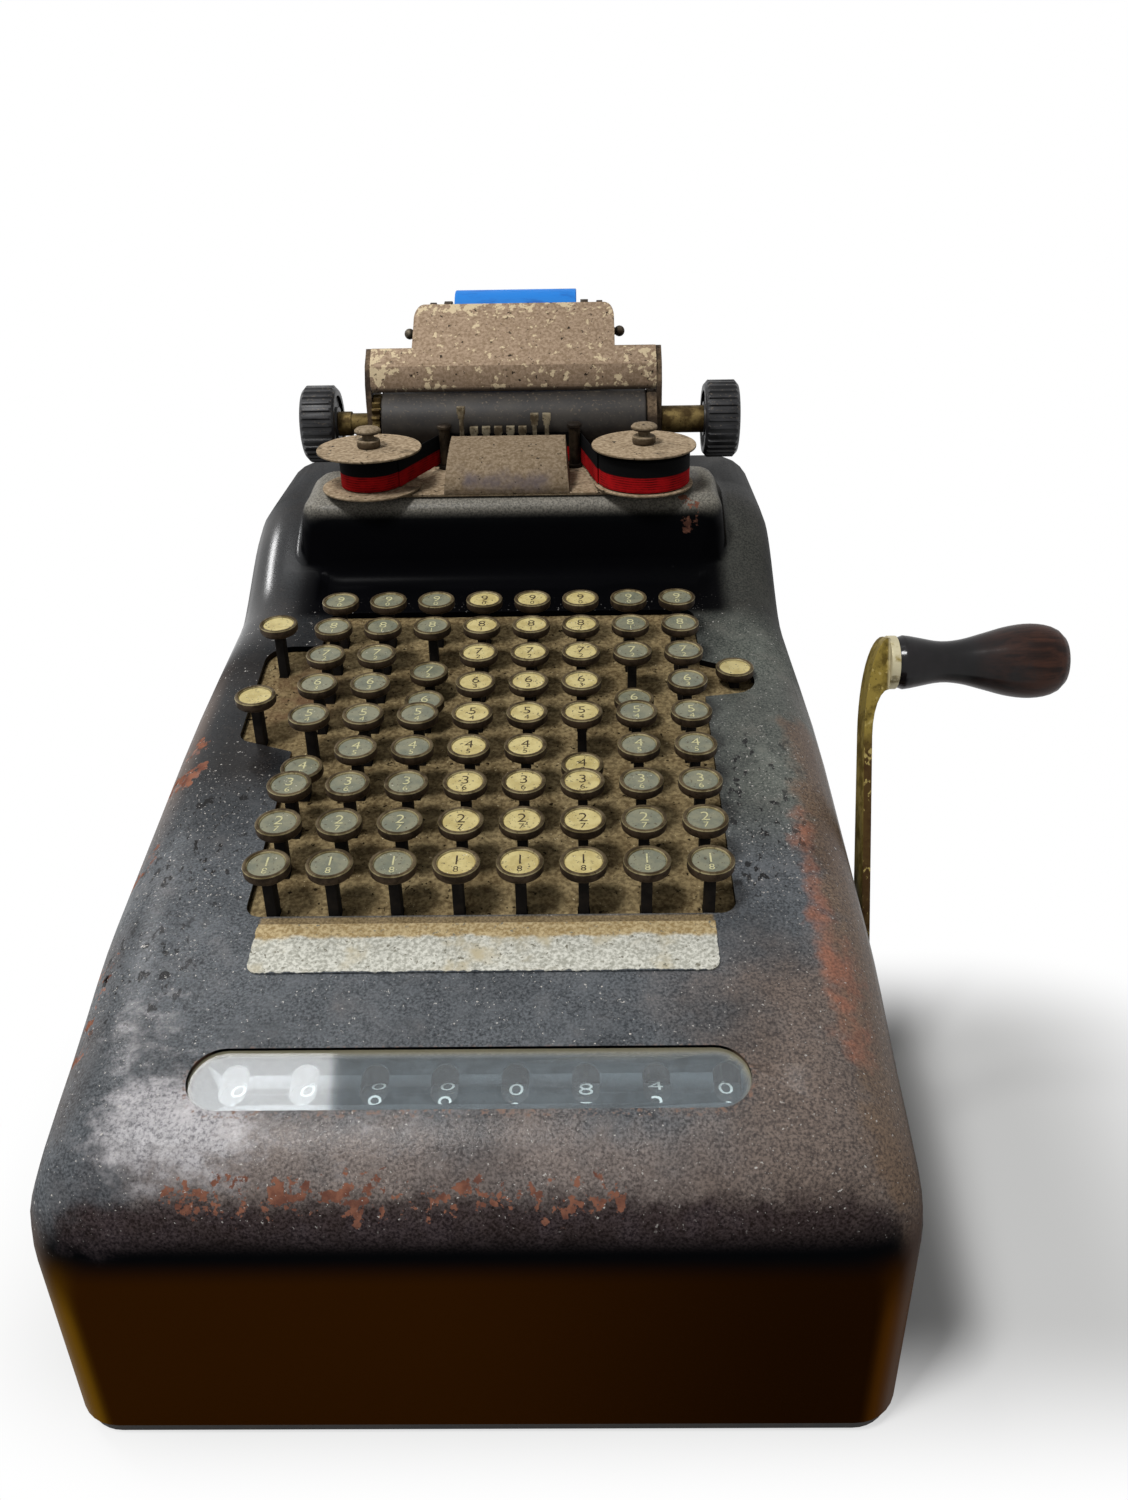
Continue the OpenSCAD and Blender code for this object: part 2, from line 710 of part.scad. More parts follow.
module knob(x) {
    w = knob_l;
    ribs = 30;
    groove = 0.9;
    translate([x, platen_y, platen_z]) rotate([0, 90, 0]) difference() {
        intersection() {
            linear_extrude(w) polygon([
                for (i = [0 : ribs - 1], q = [[-0.34, 0], [-0.22, -groove], [0.22, -groove], [0.34, 0]])
                    (knob_r + q[1]) * [cos((i + q[0]) * 360 / ribs), sin((i + q[0]) * 360 / ribs)]
            ]);
            rotate_extrude() polygon([
                [0, 0], [knob_r - 2, 0], [knob_r, 1.8], [knob_r, w - 1.8], [knob_r - 2, w], [0, w]
            ]);
        }
        translate([0, 0, -1]) cylinder(h = w + 2, r = shaft_r + run);
        for (z = [-1, w - 1.2]) translate([0, 0, z]) difference() {
            cylinder(h = 2.2, r = knob_r - 4.5);
            cylinder(h = 2.2, r = 7.5);
        }
    }
}
module platen_knobs() {
    color("#18181a") {
        knob(right_knob_x);
        knob(left_knob_x);
    }
}
module feed_roller() {
    half = cheek_x + cheek_t;
    color("#3a3733") {
        rod_x(carriage_x - half, carriage_x + half, feed_y, feed_z, 2);
        for (x = [-42, -8, 26]) rod_x(carriage_x + x, carriage_x + x + 16, feed_y, feed_z, feed_r);
    }
}
module paper_table() {
    half = cheek_x;
    color("#85735a") translate([carriage_x, 0, 0]) {
        intersection() {
            along_x(-half, 2 * half) polygon(band(table_path, table_t));
            translate([0, 190, 0]) rotate([90, 0, 0]) linear_extrude(60) {
                translate([-half, 210]) square([2 * half, table_step_z - 210]);
                translate([-table_half, 210]) square([2 * table_half, 36]);
                translate([5 - table_half, 240]) square([2 * table_half - 10, 12]);
                for (s = [-1, 1]) translate([s * (table_half - 5), 246]) circle(r = 5);
            }
        }
        for (x = [-40, 38]) difference() {
            along_x(x, 2) polygon([
                [165, 240.9], [175, 247.9], [174.8, rod_z - 1], [171, rod_z - 3], [168, rod_z - 1]
            ]);
            rod_x(x - 1, x + 3, rod_y, rod_z, 1.6 + run);
        }
    }
}
module table_rod() {
    color("#4c5048") translate([carriage_x, 0, 0]) {
        rod_x(-48, 48, rod_y, rod_z, 1.6);
        for (x = [-48, 48]) translate([x, rod_y, rod_z]) sphere(r = 2.4);
    }
}
module roll_arms() {
    color("#4f4740") for (x = [carriage_x - arm_x - arm_t, carriage_x + arm_x]) difference() {
        along_x(x, arm_t) {
            polygon([
                [160, rear_z], [186, rear_z], [187.5, 190], [206.6, 237.8], [193.5, 242.6], [176, 198],
                [160, 184]
            ]);
            translate([roll_y, roll_z]) circle(r = 7);
        }
        rod_x(x - 1, x + arm_t + 1, roll_y, roll_z, 3 + run);
    }
}
module roll_spindle() {
    color("#57503f") translate([carriage_x, 0, 0]) {
        rod_x(-41, 41, roll_y, roll_z, 3);
        for (s = [-1, 1]) {
            rod_x(s * 32.2 - 1.8, s * 32.2 + 1.8, roll_y, roll_z, 8.5);
            rod_x(s * 39.4 - 1.4, s * 39.4 + 1.4, roll_y, roll_z, 8);
        }
    }
}
module paper_roll() {
    color("#2f7fd8") translate([carriage_x - paper_w / 2, roll_y, roll_z]) rotate([0, 90, 0])
        rotate_extrude() polygon([
            [3 + run, 0], [paper_r - 0.4, 0], [paper_r, 0.4], [paper_r, paper_w - 0.4],
            [paper_r - 0.4, paper_w], [3 + run, paper_w]
        ]);
}

// Crank
module crank_bush() {
    color("#7d6a3c") translate([half_w, crank_y, crank_z]) rotate([0, 90, 0]) rotate_extrude()
        polygon([
            [crank_shaft_r + run, -6], [9, -6], [9, 0], [15, 0], [15, 1.4], [14.2, 2.2],
            [crank_shaft_r + run, 2.2]
        ]);
}
module crank_shaft() {
    color("#6b675f") {
        rod_x(71, hub_end + 0.5, crank_y, crank_z, crank_shaft_r);
        rod_x(71, key_x + frame_x - gap, crank_y, crank_z, 10);
        translate([hub_end, crank_y, crank_z]) rotate([0, 90, 0]) cylinder(h = 1.6, r1 = 8.5, r2 = 6.5);
    }
}
module on_crank() {
    translate([0, crank_y, crank_z]) rotate([-crank_lean, 0, 0]) children();
}
module crank_arm() {
    bend_l = 25;
    outer = crank_l + ferrule_r - 0.4 - (crank_l - bend_l);
    inner = crank_l - ferrule_r + 0.4 - (crank_l - bend_l);
    reach = ferrule_x - arm_bar_x;
    profile = concat(
        [[arm_bar_x, 0]],
        [for (a = [0 : 7.5 : 90])
            [ferrule_x - reach * cos(a), crank_l - bend_l + outer * sin(a)]],
        [for (a = [90 : -15 : 0])
            [ferrule_x - (reach - arm_bar_t) * cos(a), crank_l - bend_l + inner * sin(a)]],
        [[arm_bar_x + arm_bar_t, 0]]
    );
    color("#7a6a33") on_crank() difference() {
        union() {
            intersection() {
                rotate([90, 0, 0]) linear_extrude(20, center = true) polygon(profile);
                along_x(half_w, 30) polygon([
                    [-arm_w[0] / 2, 0], [arm_w[0] / 2, 0], [arm_w[1] / 2, crank_l - 15],
                    [arm_w[1] / 2, crank_l + 12], [-arm_w[1] / 2, crank_l + 12], [-arm_w[1] / 2, crank_l - 15]
                ]);
            }
            rod_x(half_w + 2.5, hub_end, 0, 0, 12);
            rod_x(ferrule_x, ferrule_x + ferrule_l, 0, crank_l, ferrule_r);
            rod_x(ferrule_x + ferrule_l, ferrule_x + ferrule_l + grip_l - 8, 0, crank_l, 3);
        }
        rod_x(half_w, hub_end + 1, 0, 0, crank_shaft_r + run);
    }
}
module crank_grip() {
    knots = [[0, 8.6], [2, 9.4], [6, 8.8], [15, 7.2], [22, 7.7], [30, 9.8], [38, 12], [45, 12.9],
             [51, 12.4], [55, 10.8], [57.2, 8.6]];
    last = knots[len(knots) - 1];
    bore = 3 + run;
    depth = grip_l - 6;
    outline = concat(
        [[bore, 0]],
        [for (x = [0 : 2.2 : last[0]]) [smooth_at(knots, x), x]],
        [[5.6, grip_l - 0.2], [0, grip_l], [0, depth], [bore, depth]]
    );
    color("#2a1c15") on_crank() translate([ferrule_x + ferrule_l + gap, 0, crank_l])
        rotate([0, 90, 0]) rotate_extrude() polygon(outline);
}

main_casing();
base_plate();
key_plate();
instruction_plate();
window_glass();
dial_mask();
side_frames();
frame_rods();
key_guide_plate();
type_cover();
spool_plate();
spool_spindles();
ribbon_posts();
ribbon_strand();
left_carriage_plate();
right_carriage_plate();
paper_table();
table_rod();
roll_arms();
roll_spindle();
crank_bush();
stop_bars();
type_bars();
left_spool();
right_spool();
left_ribbon();
right_ribbon();
platen();
platen_shaft();
platen_knobs();
feed_roller();
paper_roll();
crank_arm();
crank_shaft();
crank_grip();
total_key();
sub_total_key();
repeat_key();
key_row(1);  // key_row_1
key_row(2);  // key_row_2
key_row(3);  // key_row_3
key_row(4);  // key_row_4
key_row(5);  // key_row_5
key_row(6);  // key_row_6
key_row(7);  // key_row_7
key_row(8);  // key_row_8
key_row(9);  // key_row_9
latched_key(0);  // key_c3_r7
latched_key(1);  // key_c3_r6
latched_key(2);  // key_c7_r6
latched_key(3);  // key_c6_r4
latched_key(4);  // key_c1_r4
number_wheel(1);  // number_wheel_1
number_wheel(2);  // number_wheel_2
number_wheel(3);  // number_wheel_3
number_wheel(4);  // number_wheel_4
number_wheel(5);  // number_wheel_5
number_wheel(6);  // number_wheel_6
number_wheel(7);  // number_wheel_7
number_wheel(8);  // number_wheel_8
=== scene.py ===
"""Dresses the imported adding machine: worn enamel casing, keys, printing head, crank and a pale studio floor."""
import json
import math

import bmesh
import bpy
from bpy.props import FloatProperty, FloatVectorProperty, PointerProperty
from bpy.types import NodeSocket, Operator, Panel, PropertyGroup
from mathutils import Matrix, Vector


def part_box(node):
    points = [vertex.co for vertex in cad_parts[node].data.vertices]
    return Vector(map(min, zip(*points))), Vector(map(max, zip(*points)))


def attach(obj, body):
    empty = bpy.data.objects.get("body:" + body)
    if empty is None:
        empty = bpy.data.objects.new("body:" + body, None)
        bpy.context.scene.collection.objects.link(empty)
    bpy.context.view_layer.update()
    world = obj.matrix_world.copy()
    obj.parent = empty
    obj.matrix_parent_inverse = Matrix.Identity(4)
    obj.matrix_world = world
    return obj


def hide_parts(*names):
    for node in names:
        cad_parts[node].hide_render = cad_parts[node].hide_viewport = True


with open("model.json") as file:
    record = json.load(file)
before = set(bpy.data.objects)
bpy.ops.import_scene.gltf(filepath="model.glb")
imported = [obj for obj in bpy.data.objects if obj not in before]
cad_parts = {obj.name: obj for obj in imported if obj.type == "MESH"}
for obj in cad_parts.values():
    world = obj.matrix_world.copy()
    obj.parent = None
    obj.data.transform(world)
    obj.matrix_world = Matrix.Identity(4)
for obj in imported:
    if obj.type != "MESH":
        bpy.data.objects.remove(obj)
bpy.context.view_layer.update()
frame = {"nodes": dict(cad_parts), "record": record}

bl_info = {
    "name": "Adding machine",
    "version": (1, 0, 0),
    "blender": (4, 5, 0),
    "location": "3D View > Sidebar > Adding machine",
    "description": "Dresses the packed adding machine and sets its stage",
    "category": "Object",
}

MM = 0.001
FONT_SIZE = 1.37  # over the height of a figure
NODES = frame["nodes"]
BODY_OF = {node: body for body, nodes in frame["record"]["behaviour"]["bodies"].items() for node in nodes}


def linear(code):
    """sRGB hex code to linear red, green, blue and alpha."""
    parts = [int(code[i:i + 2], 16) / 255 for i in (1, 3, 5)]
    return tuple(c / 12.92 if c <= 0.04045 else ((c + 0.055) / 1.055) ** 2.4 for c in parts) + (1.0,)


# Sizes and colours


def colour(label, words, code):
    """Colour property with a hex default."""
    return FloatVectorProperty(name=label, description=words, default=linear(code), size=4, min=0, max=1,
                               subtype="COLOR")


def length(label, words, millimetres):
    """Length property with a default in millimetres."""
    return FloatProperty(name=label, description=words, default=millimetres * MM, unit="LENGTH", precision=5)


class MachineSizes(PropertyGroup):
    key_pitch: length("Key pitch", "Distance between neighbouring keys", 19.05)
    key_slope: FloatProperty(name="Key slope", description="Slope of the keyboard", default=math.radians(8.8),
                             subtype="ANGLE")
    key_tilt: FloatProperty(name="Key tilt", description="Tilt of a key top to the operator",
                            default=math.radians(4), subtype="ANGLE")
    key_diameter: length("Key diameter", "Outer diameter of a key cup", 14.4)
    figure_height: length("Key figure", "Height of the large figure on a key", 4.7)
    wheel_figure: length("Wheel figure", "Height of a figure on a number wheel", 6.8)
    ribbon_height: length("Ribbon height", "Height of the inked ribbon", 12.7)
    ribbon_length: length("Ribbon length", "Length of the ribbon between the two packs", 136.1)


class MachineColours(PropertyGroup):
    enamel: colour("Enamel", "Black stoving enamel", "#08090b")
    sand: colour("Dust", "Dust on the plate under the keys", "#a18f69")
    rust: colour("Rust", "Rust where the enamel has flaked off", "#8f614e")
    brass: colour("Brass", "Tarnished brass", "#8f7c3a")
    cream: colour("Cream", "Aged cream key discs", "#c9ba80")
    grey: colour("Grey", "Grey-green key discs", "#807f69")
    red_ink: colour("Red ink", "Lower half of the ribbon", "#a81014")
    black_ink: colour("Black ink", "Upper half of the ribbon", "#060607")
    paper: colour("Paper", "Blue wrapper of the roll", "#2381da")


# Materials


def fill(tree, node, inputs):
    """Sets or links a node's inputs; a hex code becomes a colour."""
    for key, value in inputs.items():
        if isinstance(value, NodeSocket):
            tree.links.new(value, node.inputs[key])
        else:
            node.inputs[key].default_value = linear(value) if isinstance(value, str) else value


def add(tree, kind, inputs=None, **settings):
    """Adds a shader node, sets its properties and fills its inputs."""
    node = tree.nodes.new("ShaderNode" + kind)
    for key, value in settings.items():
        setattr(node, key, value)
    fill(tree, node, inputs or {})
    return node


def new_material(name, values):
    """Material, its tree and its shader, with plain values on the shader's own sockets."""
    mat = bpy.data.materials.new(name)
    mat.use_nodes = True
    shader = mat.node_tree.nodes["Principled BSDF"]
    fill(mat.node_tree, shader, values)
    return mat, mat.node_tree, shader


def patches(tree, size_mm, low, high, detail=4.0, within=1.0, stretch=(1, 1, 1), shift=(0, 0, 0)):
    """Irregular patches about size_mm across: 0 where the pattern is under low, rising to within over high."""
    spot = add(tree, "TexCoord").outputs["Object"]
    spot = add(tree, "Mapping", {"Vector": spot, "Scale": stretch, "Location": shift}).outputs["Vector"]
    noise = add(tree, "TexNoise", {"Vector": spot, "Scale": 1000 / size_mm, "Detail": detail, "Roughness": 0.6})
    return add(tree, "MapRange", {"Value": noise.outputs["Fac"], "From Min": low, "From Max": high,
                                  "To Max": within}, interpolation_type="SMOOTHSTEP").outputs["Result"]


def facing(tree, axis, low, high, within=1.0):
    """Rises from 0 to within as a face's normal along an axis of the part goes from low to high."""
    normal = add(tree, "SeparateXYZ", {0: add(tree, "TexCoord").outputs["Normal"]}).outputs[axis]
    return add(tree, "MapRange", {"Value": normal, "From Min": low, "From Max": high, "To Max": within},
               interpolation_type="SMOOTHSTEP").outputs["Result"]


def places(tree, *boxes):
    """1 inside any of some boxes of the part, each with its soft edge, spans and strength, in millimetres."""
    spot = add(tree, "SeparateXYZ", {0: add(tree, "TexCoord").outputs["Object"]})
    found = 0.0
    for soft, spans, within in boxes:
        for axis, (low, high) in spans.items():
            for edge, side in ((low, 1), (high, -1)):
                within = add(tree, "MapRange", {"Value": spot.outputs[axis], "From Min": (edge - side * soft) * MM,
                                                "From Max": (edge + side * soft) * MM, "To Max": within},
                             interpolation_type="SMOOTHSTEP").outputs["Result"]
        found = add(tree, "Math", {0: found, 1: within}, operation="MAXIMUM").outputs[0]
    return found


def coats(tree, base, *layers):
    """Lays colours over a base colour, each where its own mask is 1."""
    for mask, top in layers:
        base = add(tree, "Mix", {0: mask, 6: base, 7: top}, data_type="RGBA").outputs[2]
    return base


def ragged(tree, mask, size_mm, low, high, detail=7.0, within=1.0, stretch=(1, 1, 1)):
    """Breaks a soft mask up into ragged patches about size_mm across."""
    heat = add(tree, "Math", {0: patches(tree, size_mm, 0.0, 1.0, detail, 1.0, stretch), 1: mask}).outputs[0]
    return add(tree, "MapRange", {"Value": heat, "From Min": low, "From Max": high, "To Max": within},
               interpolation_type="SMOOTHSTEP").outputs["Result"]


def outside(tree, place, half, weight=(1, 1, 1)):
    """Distance in metres from a box about the origin, with a weight for each axis."""
    place = add(tree, "VectorMath", {0: place}, operation="ABSOLUTE").outputs[0]
    place = add(tree, "VectorMath", {0: place, 1: half}, operation="SUBTRACT").outputs[0]
    place = add(tree, "VectorMath", {0: place, 1: (0, 0, 0)}, operation="MAXIMUM").outputs[0]
    place = add(tree, "VectorMath", {0: place, 1: weight}, operation="MULTIPLY").outputs[0]
    return add(tree, "VectorMath", {0: place}, operation="LENGTH").outputs["Value"]


def seen_ray(tree):
    """1 for what the eye sees straight, mirrored or through glass, and 0 for light that falls on the part."""
    ray = add(tree, "LightPath").outputs
    seen = add(tree, "Math", {0: ray["Is Camera Ray"], 1: ray["Is Glossy Ray"]}, operation="MAXIMUM").outputs[0]
    return add(tree, "Math", {0: seen, 1: ray["Is Transmission Ray"]}, operation="MAXIMUM").outputs[0]


def from_window(tree):
    """Distance in metres from the middle line of the dial window, along the window's slope."""
    middle, slope, half_length = (-0.0015, -0.1694, 0.1057), math.radians(15.2), 0.0665
    place = add(tree, "Mapping", {"Vector": add(tree, "TexCoord").outputs["Object"], "Location": middle,
                                  "Rotation": (slope, 0, 0)}, vector_type="TEXTURE").outputs["Vector"]
    return outside(tree, place, (half_length, 0, 1))


def stoving_enamel(colours):
    """Black stoving enamel on drawn sheet steel, dulled by dust and damp."""
    # Baked enamel is a deep black gloss; dust greys what faces up, damp pits it, and rust lifts flakes off at edges
    mat, tree, shader = new_material("black_stoving_enamel", {"Roughness": 0.55, "Specular IOR Level": 0.0,
                                                              "Coat Roughness": 0.22})
    roof = facing(tree, "Z", 0.12, 0.42, places(tree, (12, {"Y": (-300, 62)}, 1.0)))
    grain = patches(tree, 0.8, 0.32, 0.68, 9)
    mottle = patches(tree, 9, 0.42, 0.72, 6, 0.6)
    # Dust lies on the nose and deck, up the right side, and on the hood's upper edge, where the light band along the
    # rounding is also a painted sheen; the rest keeps its gloss
    thick = add(tree, "MapRange", {"Value": patches(tree, 30, 0.30, 0.62, 6), "To Min": 0.66,
                                   "To Max": 0.98}).outputs["Result"]
    # Painted sheen: the grey-beige band on the hood's rounded upper edge is partly dust and partly painted sheen; the
    # box on the right shoulder is dust
    hood_dust_and_sheen = places(tree, (4, {"X": (-97, 98), "Y": (80, 150), "Z": (178, 260)}, 0.85),
                  (14, {"X": (84, 130), "Y": (60, 220), "Z": (130, 260)}, 0.28))
    lies = places(tree, (30, {"Y": (-300, -60)}, thick), (24, {"X": (70, 140), "Y": (-300, 55)}, thick),
                  (30, {"Y": (-300, 400)}, 0.1))
    # The nose's upright front holds little of it
    ahead = ragged(tree, facing(tree, "Y", -0.995, -0.75), 6, 0.55, 1.45, 9)
    lies = add(tree, "Math", {0: lies, 1: ahead}, operation="MULTIPLY").outputs[0]
    dust = add(tree, "Math", {0: facing(tree, "Z", 0.10, 0.5, lies), 1: facing(tree, "Z", 0.12, 0.8, hood_dust_and_sheen)},
               operation="MAXIMUM").outputs[0]
    # It is greenish on the right of the deck, brown where damp, raw along the right edge and warm on the nose
    green = places(tree, (22, {"X": (66, 140), "Y": (-75, 120)}, 0.9))
    damp = places(tree, (24, {"X": (64, 140), "Y": (-230, -126)}, 0.9))
    edge = places(tree, (8, {"X": (103, 140), "Y": (-195, -10)}, 0.9))
    raw = places(tree, (5, {"X": (97, 106), "Y": (-142, -62)}, 0.7), (6, {"X": (97, 112), "Y": (-165, -118)}, 0.6))
    nose = places(tree, (14, {"X": (-86, 118), "Y": (-215, -178), "Z": (70, 130)}, 0.85))
    film = coats(tree, coats(tree, "#303438", (grain, "#6a6e72")), (mottle, "#6b6f73"),
                 (green, coats(tree, "#3a403c", (grain, "#767970"), (mottle, "#7b7f76"))),
                 (ragged(tree, nose, 16, 0.6, 1.5), coats(tree, "#564e4b", (grain, "#978b84"), (mottle, "#857972"))),
                 (ragged(tree, damp, 18, 0.5, 1.5), coats(tree, "#463e3b", (grain, "#85766c"))),
                 (ragged(tree, edge, 9, 0.7, 1.3), coats(tree, "#4f423a", (grain, "#88725f"))),
                 (ragged(tree, raw, 7, 0.75, 1.4, 9), coats(tree, "#7a5141", (grain, "#a8735c"))),
                 # The hood's upper edge: dust, and a painted sheen along its rounding
                 (hood_dust_and_sheen, coats(tree, "#6d6a62", (grain, "#aaa497"))))
    # Silvery bloom on the left of the nose, partly dust and partly a painted sheen where the lamp's highlight falls,
    # and a dark purple-grey band along its foot
    haze = places(tree, (16, {"X": (-100, -54), "Y": (-197, -166), "Z": (90, 130)}, 0.95),
                  (16, {"X": (-108, -80), "Y": (-172, -136)}, 0.45), (16, {"X": (-60, 0), "Y": (-190, -178)}, 0.5))
    silver_sheen = ragged(tree, haze, 6, 0.75, 1.5, 9, facing(tree, "Z", 0.3, 0.6, 0.95), (1, 1.5, 1))
    bloom_and_sheen = coats(tree, "#6b696d", (patches(tree, 0.9, 0.3, 0.6, 6), "#bcb9bb"), (mottle, "#dedadb"))
    foot_band = ragged(tree, places(tree, (9, {"X": (-110, 74), "Y": (-215, -194), "Z": (70, 97)}, 0.5)), 7, 0.75, 1.25, 9,
                   facing(tree, "Z", 0.02, 0.2, 0.75))
    # The walls are brown with age low down, and along both upper edges where hands have worn them; low on the rounded
    # front corners an amber tint is a painted reflection
    low = places(tree, (6, {"Z": (-20, 70)}, 1.0))
    # Painted reflection: amber on the left front corner and brown-amber on the right, low down
    amber_corner_reflection = places(tree, (16, {"Z": (-40, 62)}, facing(tree, "Y", -0.1, -0.45, 0.75)))
    rims = places(tree, (26, {"Y": (-240, 20), "Z": (70, 200)}, 0.8))
    left_rim = facing(tree, "X", -0.99, -0.9, facing(tree, "X", -0.35, -0.75, rims))
    right_rim = facing(tree, "X", 0.99, 0.9, facing(tree, "X", 0.35, 0.75, rims))
    grime = facing(tree, "Y", -0.6, -0.2, patches(tree, 30, 0.40, 0.66, 8, 0.9))
    film_specks = facing(tree, "Y", -0.6, -0.2, patches(tree, 1.6, 0.60, 0.68, 3, 0.8))
    brown = coats(tree, "#331a03", (places(tree, (60, {"X": (40, 200)}, 1.0)), "#221002"))
    wall = coats(tree, tuple(colours.enamel), (grime, "#1c1714"), (film_specks, "#2b241d"),
                 (facing(tree, "Y", -0.6, -0.97, low), brown), (left_rim, "#5e4a3d"), (right_rim, "#5c4133"),
                 (places(tree, (6, {"Y": (-240, -186), "Z": (82, 106)}, 0.9)),
                  coats(tree, "#241c1a", (grain, "#4e4343"))),
                 (facing(tree, "X", -0.08, -0.4, amber_corner_reflection), "#7a5610"), (facing(tree, "X", 0.08, 0.4, amber_corner_reflection), "#5f3708"))
    # Painted shade: the hood's foot and the lower part of its front are painted black and lose their gloss, as though
    # all of it lay in the hood's shade
    painted_foot_shade = places(tree, (4, {"X": (-90, 91), "Y": (58, 98), "Z": (120, 176)}, 0.95))
    # Flaked band along the nose and scattered flakes on the left edge and the hood's right corner
    band = places(tree, (7, {"X": (-80, 44), "Y": (-215, -186), "Z": (86, 100)}, 0.36),
                  (4, {"X": (-119, -103), "Y": (-30, -16)}, 0.36), (4, {"X": (-119, -101), "Y": (-48, -34)}, 0.42),
                  (4, {"X": (-121, -108), "Y": (-90, -74)}, 0.36), (4, {"X": (-121, -108), "Y": (-160, -120)}, 0.34),
                  (3, {"X": (72, 82), "Y": (84, 94), "Z": (170, 200)}, 0.36))
    flake = coats(tree, "#6b473c", (patches(tree, 5, 0.35, 0.6, 5), tuple(colours.rust)))
    shown = facing(tree, "Z", 0.05, 0.35)
    rust = ragged(tree, band, 7, 0.92, 0.96, 10, shown)
    crumbs = ragged(tree, band, 3.0, 0.95, 0.99, 5, shown)
    # Black chips with white specks beside them, thickest on the left of the deck: the black is partly pits and partly
    # painted shadow of lifted flakes, the white specks are painted glints off the flakes
    struck = places(tree, (12, {"X": (-112, -76), "Y": (-112, -45)}, roof),
                    (9, {"X": (-119, -84), "Y": (-152, -114)}, roof), (14, {"X": (72, 104), "Y": (-110, -20)}, roof))
    chips = patches(tree, 3.2, 0.58, 0.63, 5, struck, (1, 0.6, 1), (0.3, 0, 0))
    specks = patches(tree, 1.0, 0.66, 0.71, 2, struck, shift=(0, 0.3, 0))
    stray = patches(tree, 1.1, 0.68, 0.73, 2, roof, shift=(0, 0.5, 0))
    # Copper-coloured wear around the dial window, and sand blown over the sill behind the strip
    worn = add(tree, "MapRange", {"Value": from_window(tree), "From Min": 11.2 * MM, "From Max": 10.2 * MM,
                                  "To Max": patches(tree, 1.6, 0.5, 0.7, 3, shown)}).outputs["Result"]
    sill = places(tree, (0.7, {"X": (-68, 69), "Y": (-117.5, -113.5), "Z": (110, 140)}, 0.85))
    paint = coats(tree, wall, (dust, film), (painted_foot_shade, "#060608"), (foot_band, coats(tree, "#231d21", (grain, "#544a4c"))),
                  (silver_sheen, bloom_and_sheen), (rust, flake), (crumbs, flake), (chips, "#0d0c0d"), (specks, "#bdb8b2"),
                  (stray, "#c4c0ba"), (worn, "#83685a"), (sill, coats(tree, "#6e5c3e", (grain, "#a08a62"))))
    relief = add(tree, "Math", {0: grain, 1: dust}, operation="MULTIPLY").outputs[0]
    relief = add(tree, "Math", {0: rust, 1: -0.8, 2: relief}, operation="MULTIPLY_ADD").outputs[0]
    relief = add(tree, "Math", {0: chips, 1: -1.5, 2: relief}, operation="MULTIPLY_ADD").outputs[0]
    bump = add(tree, "Bump", {"Strength": 0.4, "Distance": 0.12 * MM, "Height": relief}).outputs["Normal"]
    # Most gloss is left on the left shoulder, some on the deck, and none on faces that look to the front
    shine = places(tree, (20, {"Y": (-300, 20), "Z": (92, 300)}, 0.4), (8, {"Z": (-20, 300)}, 0.16))
    shine = add(tree, "MapRange", {"Value": facing(tree, "Y", -0.7, -0.97), "To Min": shine,
                                   "To Max": 0.0}).outputs["Result"]
    # Painted shade: no gloss on the hood's foot
    shine = add(tree, "MapRange", {"Value": painted_foot_shade, "To Min": shine, "To Max": 0.01}).outputs["Result"]
    shoulder = places(tree, (14, {"X": (-140, -94), "Y": (40, 120), "Z": (120, 185)}, 1.0))
    shoulder = facing(tree, "Z", 0.25, 0.6, shoulder)
    shine = add(tree, "MapRange", {"Value": shoulder, "To Min": shine, "To Max": 0.9}).outputs["Result"]
    shine = add(tree, "Math", {0: rust, 1: -0.6, 2: shine}, operation="MULTIPLY_ADD", use_clamp=True).outputs[0]
    fill(tree, shader, {"Base Color": paint, "Coat Weight": shine, "Normal": bump, "Coat Normal": bump})
    return mat


def dust_felt(colours):
    """Sheet steel under a felt of sandy dust, with grit and dark specks."""
    # Settled dust is matt and sandy, so the plate gives no gloss at all
    mat, tree, shader = new_material("dust_felted_steel", {"Roughness": 0.95, "Specular IOR Level": 0.05})
    grit = patches(tree, 1.5, 0.34, 0.66, 4)
    drift = patches(tree, 17, 0.30, 0.66, 6)
    tab = places(tree, (9, {"X": (-86, -64), "Y": (-14, 26)}, 0.75))
    felt = coats(tree, "#6f6045", (grit, tuple(colours.sand)), (drift, coats(tree, "#5d4d34", (grit, "#8f7d5a"))))
    felt = coats(tree, felt, (patches(tree, 6, 0.3, 0.6, 5, tab), "#5c4030"),
                 (patches(tree, 2.3, 0.63, 0.68, 3, shift=(0.2, 0, 0)), "#251c10"),
                 (patches(tree, 1.2, 0.70, 0.74, 2, shift=(0, 0.2, 0)), "#cdbd97"))
    bump = add(tree, "Bump", {"Strength": 0.6, "Distance": 0.3 * MM, "Height": grit}).outputs["Normal"]
    fill(tree, shader, {"Base Color": felt, "Normal": bump})
    return mat


